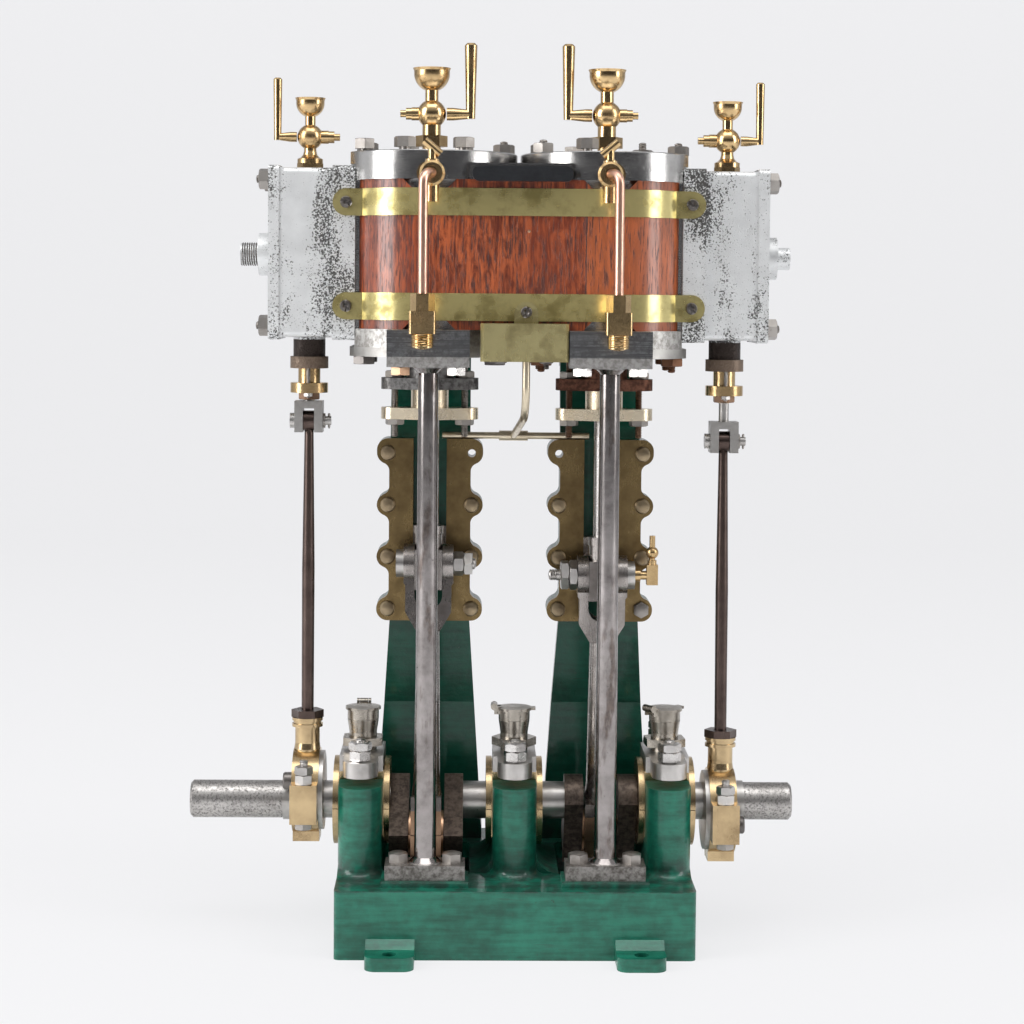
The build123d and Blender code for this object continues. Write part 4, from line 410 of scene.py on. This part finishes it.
UP, DOWN = spun(0.0), towards(0, 0, -1)
FRONT, BACK = towards(0, -1, 0), towards(0, 1, 0)
OUTWARD = {-1: towards(-1, 0, 0), 1: towards(1, 0, 0)}
TURNED = spun(25.0)
HEAD_SIDES, THREAD_ROWS = 24, 5
CHAMFER_RING, CHAMFER_ANGLE = 0.48, np.pi / 6
SHARP_EDGE = np.radians(32.0)


def round_angles(sides):
    """Evenly spaced angles once round."""
    return np.linspace(0.0, 2 * np.pi, sides, endpoint=False)


class Hardware:
    """One object made of many closed turned shells, each a grid of radius and height round its own axis."""

    def __init__(self, name, finish, slot="machined_steel"):
        self.name, self.finish, self.slot = name, finish, slot
        self.points, self.faces, self.count = [], [], 0

    def shell(self, place, turn, radius, height, tube=False):
        """Rows of radius over angle at the given heights, closed by flat ends or back into a tube."""
        radius, height = np.broadcast_arrays(np.asarray(radius, float), np.asarray(height, float))
        rows, sides = radius.shape
        angle = round_angles(sides)
        grid = np.stack([radius * np.cos(angle), radius * np.sin(angle), height], axis=-1).reshape(-1, 3)
        self.points.append(grid @ turn.T + np.asarray(place, float))
        row, side = np.meshgrid(np.arange(rows if tube else rows - 1), np.arange(sides), indexing="ij")
        low, low_next = row * sides + side, row * sides + (side + 1) % sides
        rise = ((row + 1) % rows - row) * sides
        quads = np.stack([low, low_next, low_next + rise, low + rise], axis=-1).reshape(-1, 4) + self.count
        self.faces += quads.tolist()
        if not tube:
            self.faces.append((np.arange(sides)[::-1] + self.count).tolist())
            self.faces.append((np.arange(sides) + (rows - 1) * sides + self.count).tolist())
        self.count += rows * sides

    def turning(self, place, turn, profile, sides=20):
        """A turned shell from (radius, height) pairs, low end first."""
        profile = np.asarray(profile, float)
        self.shell(place, turn, np.repeat(profile[:, :1], sides, axis=1), profile[:, 1:])

    def hexagon(self, place, turn, across, high, both=True):
        """Hexagon whose corners are cut by a 30 degree cone at the top, or at both ends."""
        angle = round_angles(HEAD_SIDES)
        reach = across / 2 / np.cos((angle + np.pi / 6) % (np.pi / 3) - np.pi / 6)
        ring = np.full(HEAD_SIDES, CHAMFER_RING * across)
        slope = np.tan(CHAMFER_ANGLE) * (reach - ring)
        level = np.zeros(HEAD_SIDES)
        radius, height = [reach, reach, ring], [level, high - slope, level + high]
        if both:
            radius, height = [ring, *radius], [level, slope, *height[1:]]
        self.shell(place, turn, radius, height)

    def thread(self, place, turn, diameter, length, pitch=0.7, sides=12, bore=0.0):
        """Screw thread: a ripple that climbs one pitch a turn, with a domed end or round a bore."""
        z = np.linspace(0.0, length, max(4, int(THREAD_ROWS * length / pitch)))[:, None]
        angle = round_angles(sides)[None, :]
        radius = diameter / 2 - 0.5 * pitch * (0.5 - 0.5 * np.cos(2 * np.pi * z / pitch - angle))
        z = z + 0 * angle
        if bore:
            inner = np.full((1, sides), bore / 2)
            self.shell(place, turn, np.vstack([inner, radius, inner]), np.vstack([z[:1], z, z[-1:]]), tube=True)
            return
        dome = diameter * np.array([[0.40], [0.28], [0.12]]) + 0 * angle
        rise = length + diameter * np.array([[0.05], [0.10], [0.13]]) + 0 * angle
        self.shell(place, turn, np.vstack([radius, dome]), np.vstack([z, rise]))

    def slotted(self, place, turn, diameter, high, slot):
        """Low round screw head whose top dips into a straight slot across the middle."""
        angle = round_angles(HEAD_SIDES)
        radius = np.array([[1.0], [1.0], [0.85], [0.5], [0.2]]) * diameter / 2 + 0 * angle
        level = np.array([[0.0], [0.6], [0.92], [1.0], [1.0]]) * high + 0 * angle
        dip = (np.abs(radius * np.sin(angle)) < slot / 2) & (radius < 0.47 * diameter)
        self.shell(place, turn, radius, level - 0.5 * high * dip)

    def nut(self, place, turn, across, high, stud=0.0, out=0.0, sunk=0.4):
        """A nut standing on place, with the end of its stud above it."""
        self.hexagon(place, turn, across, high)
        if stud:
            start = np.asarray(place, float) + turn[:, 2] * (high - sunk)
            self.thread(start, turn, stud, out + sunk)

    def make(self):
        """Turn the shells into one object in metres, on the engine's body."""
        mesh = bpy.data.meshes.new(self.name)
        mesh.from_pydata((np.concatenate(self.points) * MM).tolist(), [], self.faces)
        mesh.polygons.foreach_set("use_smooth", [True] * len(self.faces))
        mesh.set_sharp_from_angle(angle=SHARP_EDGE)
        mesh.materials.append(FINISHES[self.finish].material)
        piece = bpy.data.objects.new(self.name, mesh)
        bpy.context.collection.objects.link(piece)
        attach(piece, "engine")


def make_all(*pieces):
    """Make several objects, in this order."""
    for piece in pieces:
        piece.make()


def link_frame(origin, offset, length):
    """Place and turn on a rod that leans by its lower pin's offset over its length."""
    a = np.arcsin(offset / length)
    lean = np.array([[1, 0, 0], [0, np.cos(a), -np.sin(a)], [0, np.sin(a), np.cos(a)]])
    return lambda point, way: (np.asarray(origin) + lean @ np.asarray(point, float), lean @ way)


def pin(throw, degrees):
    """(Y, Z) of a pin turned about the shaft."""
    a = np.radians(degrees)
    return throw * np.cos(a), SHAFT_Z + throw * np.sin(a)


def cover_nuts():
    """Nuts round the cylinder covers; the right cover's front nut nearest its chest is missing."""
    nuts = Hardware("top_cover_nuts", "dull_steel")
    for s in SIDES:
        for x, y in RAISED_NUTS[s]:
            at = s * CYLINDER_X + x
            nuts.turning((at, y, COVER_TOP), UP, COVER_WASHER)
            nuts.hexagon((at, y, COVER_TOP + 1.2), spun(7 * x + 3 * y), *COVER_NUT, both=False)
        for x, y, out in SEATED_NUTS[s]:
            nuts.nut((s * CYLINDER_X + x, y, COVER_TOP), spun(9 * x), *COVER_NUT, stud=3.6, out=out)
    left = Hardware("left_bottom_cover_nuts", "oily_steel")
    right = Hardware("right_bottom_cover_nuts", "rusty_steel")
    for s, under in zip(SIDES, (left, right)):
        for x, y in ((27.5, 14.4), (10.4, 27.9)):
            for across, back in ((x, y), (-x, y), (x, -y), (-x, -y)):
                under.nut((s * CYLINDER_X + across, back, COVER_UNDERSIDE), DOWN, *LOWER_COVER_NUT,
                          stud=3.4 if s > 0 else 0.0, out=2.3)
    make_all(nuts, left, right)


def chest_nuts():
    """Four nuts on each chest cover's outer face."""
    nuts = Hardware("chest_cover_nuts", "dull_steel")
    for s in SIDES:
        for y in (-13.0, 13.0):
            for z in (258.0, 319.3):
                nuts.nut((s * CHEST_FACE, y, z), towards(s, 0, 0, 5 * y + z), *CHEST_NUT, stud=3.6, out=0.8)
    nuts.make()


def column_fasteners():
    """Domed hexagon heads on the column feet, nuts under the block's front feet, one of them brown."""
    heads = Hardware("column_foot_bolts", "dull_steel")
    nuts = Hardware("column_head_nuts", "bright_steel")
    brown = Hardware("column_head_brown_nut", "pink_brass", "copper")
    for s in SIDES:
        for x in (-11.2, 11.2):
            at = s * CYLINDER_X + x
            heads.hexagon((at, COLUMN_Y, COLUMN_FOOT_TOP), spun(10 * x), *COLUMN_FOOT_HEAD, both=False)
            heads.turning((at, COLUMN_Y, COLUMN_FOOT_TOP + 3.8), UP, DOMED_TOP)
        for x in (-11.4, 11.4):
            kind = brown if s < 0 and x < 0 else nuts
            kind.hexagon((s * CYLINDER_X + x, COLUMN_Y, COLUMN_HEAD_Z), DOWN, *COLUMN_HEAD_NUT)
    make_all(heads, nuts, brown)


def standard_fasteners():
    """Nuts on the rear standards' feet and under their heads, finished from the front by symmetry."""
    nuts = Hardware("standard_nuts", "dull_steel")
    for s in SIDES:
        for x in (-18.0, 18.0):
            place = (s * CYLINDER_X + x, 48.0, STANDARD_FOOT_TOP)
            nuts.nut(place, UP, *STANDARD_FOOT_NUT, stud=4.0, out=1.5)
        for x in (-12.0, 12.0):
            place = (s * CYLINDER_X + x, 43.4, STANDARD_HEAD_LOW)
            nuts.nut(place, DOWN, *STANDARD_HEAD_NUT, stud=3.4, out=0.8)
    nuts.make()


def bearing_studs():
    """A nut and a locknut on each main bearing stud."""
    nuts = Hardware("bearing_cap_nuts", "bright_steel")
    for k, x in enumerate((-PEDESTAL_X, 0.0, PEDESTAL_X)):
        for y in (-BEARING_STUD_Y, BEARING_STUD_Y):
            nuts.hexagon((x, y, CAP_TOP), spun(11 * k), *CAP_NUT)
            nuts.nut((x, y, CAP_TOP + CAP_NUT[1]), spun(40 + 23 * k), *CAP_LOCKNUT, stud=4.4, out=0.9)
    nuts.make()


def gland_studs():
    """Piston gland studs with nuts on the seat and under the brass, and the valve glands' nuts and studs."""
    nuts = Hardware("gland_nuts", "dull_steel")
    left = Hardware("left_gland_studs", "dull_steel")
    right = Hardware("right_gland_studs", "brown_steel")
    for s, studs in zip(SIDES, (left, right)):
        for x in (-14.9, 14.9):
            at = s * CYLINDER_X + x
            studs.thread((at, 0, COVER_UNDERSIDE), DOWN, 3.0, COVER_UNDERSIDE - 211.0)
            nuts.hexagon((at, 0, GLAND_SEAT_TOP), spun(x), *GLAND_SEAT_NUT)
            nuts.hexagon((at, 0, GLAND_Z), towards(0, 0, -1, 7 * x * s), *GLAND_NUT)
    brown = Hardware("valve_gland_nuts", "brown_steel")
    small = Hardware("valve_gland_studs", "pale_steel")
    for s in SIDES:
        x = s * VALVE_X
        brown.hexagon((x, 0, VALVE_GLAND_Z), DOWN, *VALVE_GLAND_NUT)
        for y in (-6.1, 6.1):
            small.thread((x, y, VALVE_GLAND_Z + 10.6), DOWN, 2.0, 12.5, pitch=0.5, sides=10)
            small.hexagon((x, y, VALVE_GLAND_Z), DOWN, *VALVE_STUD_NUT)
    make_all(left, right, nuts, brown, small)


def rod_fasteners():
    """Big-end bolts through the palms and the nuts on the wrist pins' threads."""
    bolts = Hardware("big_end_bolts", "dull_steel")
    nuts = Hardware("wrist_pin_nuts", "pale_steel")
    for s in SIDES:
        y, z = pin(STROKE / 2, CRANK_ANGLE[s])
        at = link_frame((s * CYLINDER_X, y, z), y, ROD_CENTRES)
        for across in (-9.8, 9.8):
            bolts.hexagon(*at((0, across, 15.8), UP), *BIG_END_NUT)
            bolts.nut(*at((0, across, 19.2), UP), *BIG_END_LOCKNUT, stud=3.6, out=1.4)
            bolts.hexagon(*at((0, across, -9.6), DOWN), *BIG_END_HEAD, both=False)
        height = z + np.sqrt(ROD_CENTRES ** 2 - y ** 2)
        face, inward = s * CYLINDER_X - s * 10.6, OUTWARD[-s]
        across, first, second, out = WRIST_NUTS[s]
        nuts.hexagon((face, 0, height), inward, across, first)
        nuts.nut((face - s * first, 0, height), inward @ TURNED, across, second, stud=5.0, out=out)
    make_all(bolts, nuts)


def guide_bolts():
    """Round worn heads on the guide plates, one hexagon, and the two top inner holes left empty."""
    heads = Hardware("guide_bolts", "worn_bronze", "bronze")
    hexes = Hardware("guide_hexagon_bolt", "dull_steel")
    for s in SIDES:
        for x in (-18.2, 18.2):
            for z in GUIDE_BOLT_LEVELS:
                place = (s * CYLINDER_X + x, 17.0, z)
                if z == GUIDE_BOLT_LEVELS[-1] and x * s < 0:
                    continue
                if z == GUIDE_BOLT_LEVELS[0] and s > 0 and x > 0:
                    hexes.hexagon(place, FRONT, *GUIDE_HEXAGON, both=False)
                else:
                    heads.turning(place, FRONT, WORN_HEAD)
    make_all(heads, hexes)


def lagging_screws():
    """Slotted heads on the band tabs and oil box, two domed screws under the box and the nail in the wood."""
    screws = Hardware("band_screws", "oily_steel")
    for s in SIDES:
        for z in BAND_MIDDLES:
            for way, y in ((FRONT, -20.8), (BACK, 20.8)):
                screws.slotted((s * 72.2, y, z), way @ spun(25.0 + z), 5.0, 1.5, slot=1.1)
    screws.slotted((2.8, -36.8, 264.6), FRONT @ spun(70.0), 4.8, 1.3, slot=1.1)
    for x in (-8.0, 11.0):
        screws.turning((x, -42.0, 244.5), DOWN, BOX_HEAD)
    screws.thread((11.0, -42.0, 243.7), DOWN, 2.4, 2.0, pitch=0.5, sides=10)
    nail = Hardware("lagging_nail", "pink_brass", "brass")
    nail.turning((3.7, -34.5, 297.9), FRONT, NAIL)
    make_all(screws, nail)


def eccentric_fasteners():
    """Strap bolts with nut and locknut, a set screw on each sheave, clevis washers and split pins."""
    nuts = Hardware("strap_nuts", "pale_steel")
    heads = Hardware("strap_bolt_heads", "dull_steel")
    sets = Hardware("sheave_set_screws", "oily_steel")
    pins = Hardware("clevis_washers_and_split_pins", "dull_steel")
    for s, set_angle in zip(SIDES, (137.0, 210.0)):
        y, z = pin(ECCENTRIC_THROW, ECCENTRIC_ANGLE[s])
        at = link_frame((s * VALVE_X, y, z), y, ECCENTRIC_CENTRES)
        for across in (-21.8, 21.8):
            nuts.hexagon(*at((0, across, 6.6), UP), *STRAP_NUT)
            nuts.nut(*at((0, across, 10.7), UP @ TURNED), *STRAP_LOCKNUT, stud=3.6, out=2.3)
            heads.hexagon(*at((0, across, -9.8), DOWN), *STRAP_HEAD, both=False)
        sets.turning((s * 94.3, *pin(15.0, set_angle)), OUTWARD[s], SET_SCREW)
        height, end = z + np.sqrt(ECCENTRIC_CENTRES ** 2 - y ** 2), s * VALVE_X + 9.4
        pins.turning((end - 3.4, 0, height), OUTWARD[1], CLEVIS_WASHER)
        pins.turning((end - 0.9, 0, height + 3.2), DOWN, SPLIT_PIN, sides=10)
    make_all(nuts, heads, sets, pins)


def pipe_threads():
    """Coarse threads round the drain spigots and the left steam nipple; the right nipple is plain."""
    spigots = Hardware("drain_spigot_threads", "brass", "brass")
    for x, diameter in ((-39.45, 9.4), (39.45, 9.1)):
        spigots.thread((x, -56.5, 255.8), DOWN, diameter, 5.2, pitch=0.9, sides=24)
    nipple = Hardware("left_steam_nipple_thread", "oily_steel", "cast_iron")
    nipple.thread((-110.6, 0, 288.0), OUTWARD[-1], 10.1, 6.9, pitch=0.95, sides=24, bore=9.0)
    make_all(spigots, nipple)


cover_nuts()
chest_nuts()
column_fasteners()
standard_fasteners()
bearing_studs()
gland_studs()
rod_fasteners()
guide_bolts()
lagging_screws()
eccentric_fasteners()
pipe_threads()


# Studio and camera, in metres

def studio_sweep():
    """Floor running back and up into a wall: a quarter-round profile carried along X."""
    bend = np.linspace(0.0, np.pi / 2, 24)
    radius, front, back, wide, top = 0.9, -4.0, 1.5, 6.0, 5.0
    y = np.concatenate([[front], back + radius * np.sin(bend), [back + radius]])
    z = np.concatenate([[0.0], radius * (1.0 - np.cos(bend)), [top]])
    x = np.array([-wide, wide])
    grid = np.stack(np.broadcast_arrays(x[None, :], y[:, None], z[:, None]), axis=-1).reshape(-1, 3)
    row = np.arange(len(y) - 1)[:, None] * 2
    faces = (row + np.array([0, 1, 3, 2])).tolist()
    mesh = bpy.data.meshes.new("studio_sweep")
    mesh.from_pydata(grid.tolist(), [], faces)
    mesh.polygons.foreach_set("use_smooth", [True] * len(faces))
    mesh.materials.append(studio_paper())
    sweep = bpy.data.objects.new("studio_sweep", mesh)
    bpy.context.collection.objects.link(sweep)


def studio_paper():
    """Pale paper that takes the shadow, evened out by a weak glow which pales with height."""
    material = bpy.data.materials.new("studio_paper")
    material.use_nodes = True
    tree = material.node_tree
    tree.nodes.clear()
    at = Shade(tree)
    seen = at.node("ShaderNodeLightPath", out="Is Camera Ray")
    lit = at.node("ShaderNodeBsdfDiffuse", {"Color": (0.86, 0.86, 0.87)})
    rise = at.node("ShaderNodeTexCoord", out="Object").part("Z").over(0.0, 1.6)
    pale = rise.mix((0.868, 0.868, 0.882), (0.955, 0.955, 0.972))
    glow = at.node("ShaderNodeEmission", {"Color": pale})
    shown = at.node("ShaderNodeMixShader", {0: 0.85 * seen, 1: lit, 2: glow})
    output = tree.nodes.new("ShaderNodeOutputMaterial")
    tree.links.new(shown.socket, output.inputs["Surface"])
    return material


def studio_air():
    """Pale air all round, dark low in front of the engine, so that polished metal shows contrast."""
    world = bpy.data.worlds.new("studio_air")
    world.use_nodes = True
    bpy.context.scene.world = world
    backdrop = world.node_tree.nodes["Background"]
    way = Shade(world.node_tree).node("ShaderNodeTexCoord", out="Generated")
    front = (0.0 - way.part("Y")).over(-0.05, 0.55)
    above = way.part("Z").over(0.15, 0.85)
    air = (front * (1.0 - above)).mix((0.93, 0.94, 0.96), (0.07, 0.07, 0.075))
    world.node_tree.links.new(air.socket, backdrop.inputs["Color"])
    backdrop.inputs["Strength"].default_value = 0.75


def softbox(name, place, size, watts):
    """A rectangular area lamp aimed at the engine's middle."""
    lamp = bpy.data.lights.new(name, "AREA")
    lamp.shape, lamp.size, lamp.size_y = "RECTANGLE", *size
    lamp.energy = watts
    holder = bpy.data.objects.new(name, lamp)
    holder.location = place
    holder.rotation_euler = (Vector((0.0, 0.0, 0.18)) - Vector(place)).to_track_quat("-Z", "Y").to_euler()
    bpy.context.collection.objects.link(holder)


def camera():
    """Long lens a metre in front, a little left of the engine and level with its valve gear."""
    lens = bpy.data.cameras.new("studio_camera")
    lens.lens, lens.sensor_width, lens.shift_y = 79.0, 36.0, -0.1
    lens.clip_start, lens.clip_end = 0.05, 30.0
    eye = bpy.data.objects.new("studio_camera", lens)
    yaw, pitch, roll = np.radians((1.074, 2.99, -0.5))
    eye.location = (-0.0205, -0.960, 0.2728)
    eye.rotation_euler = (np.pi / 2 - pitch, roll, -yaw)
    bpy.context.collection.objects.link(eye)
    bpy.context.scene.camera = eye


bpy.context.scene.view_settings.view_transform = "Standard"
studio_sweep()
studio_air()
softbox("left_softbox", (-1.35, -0.62, 0.75), (0.7, 1.3), 21.0)
softbox("right_softbox", (1.40, -0.55, 0.75), (0.5, 1.3), 11.0)
softbox("top_softbox", (0.0, -0.45, 1.7), (1.6, 0.8), 12.0)
camera()
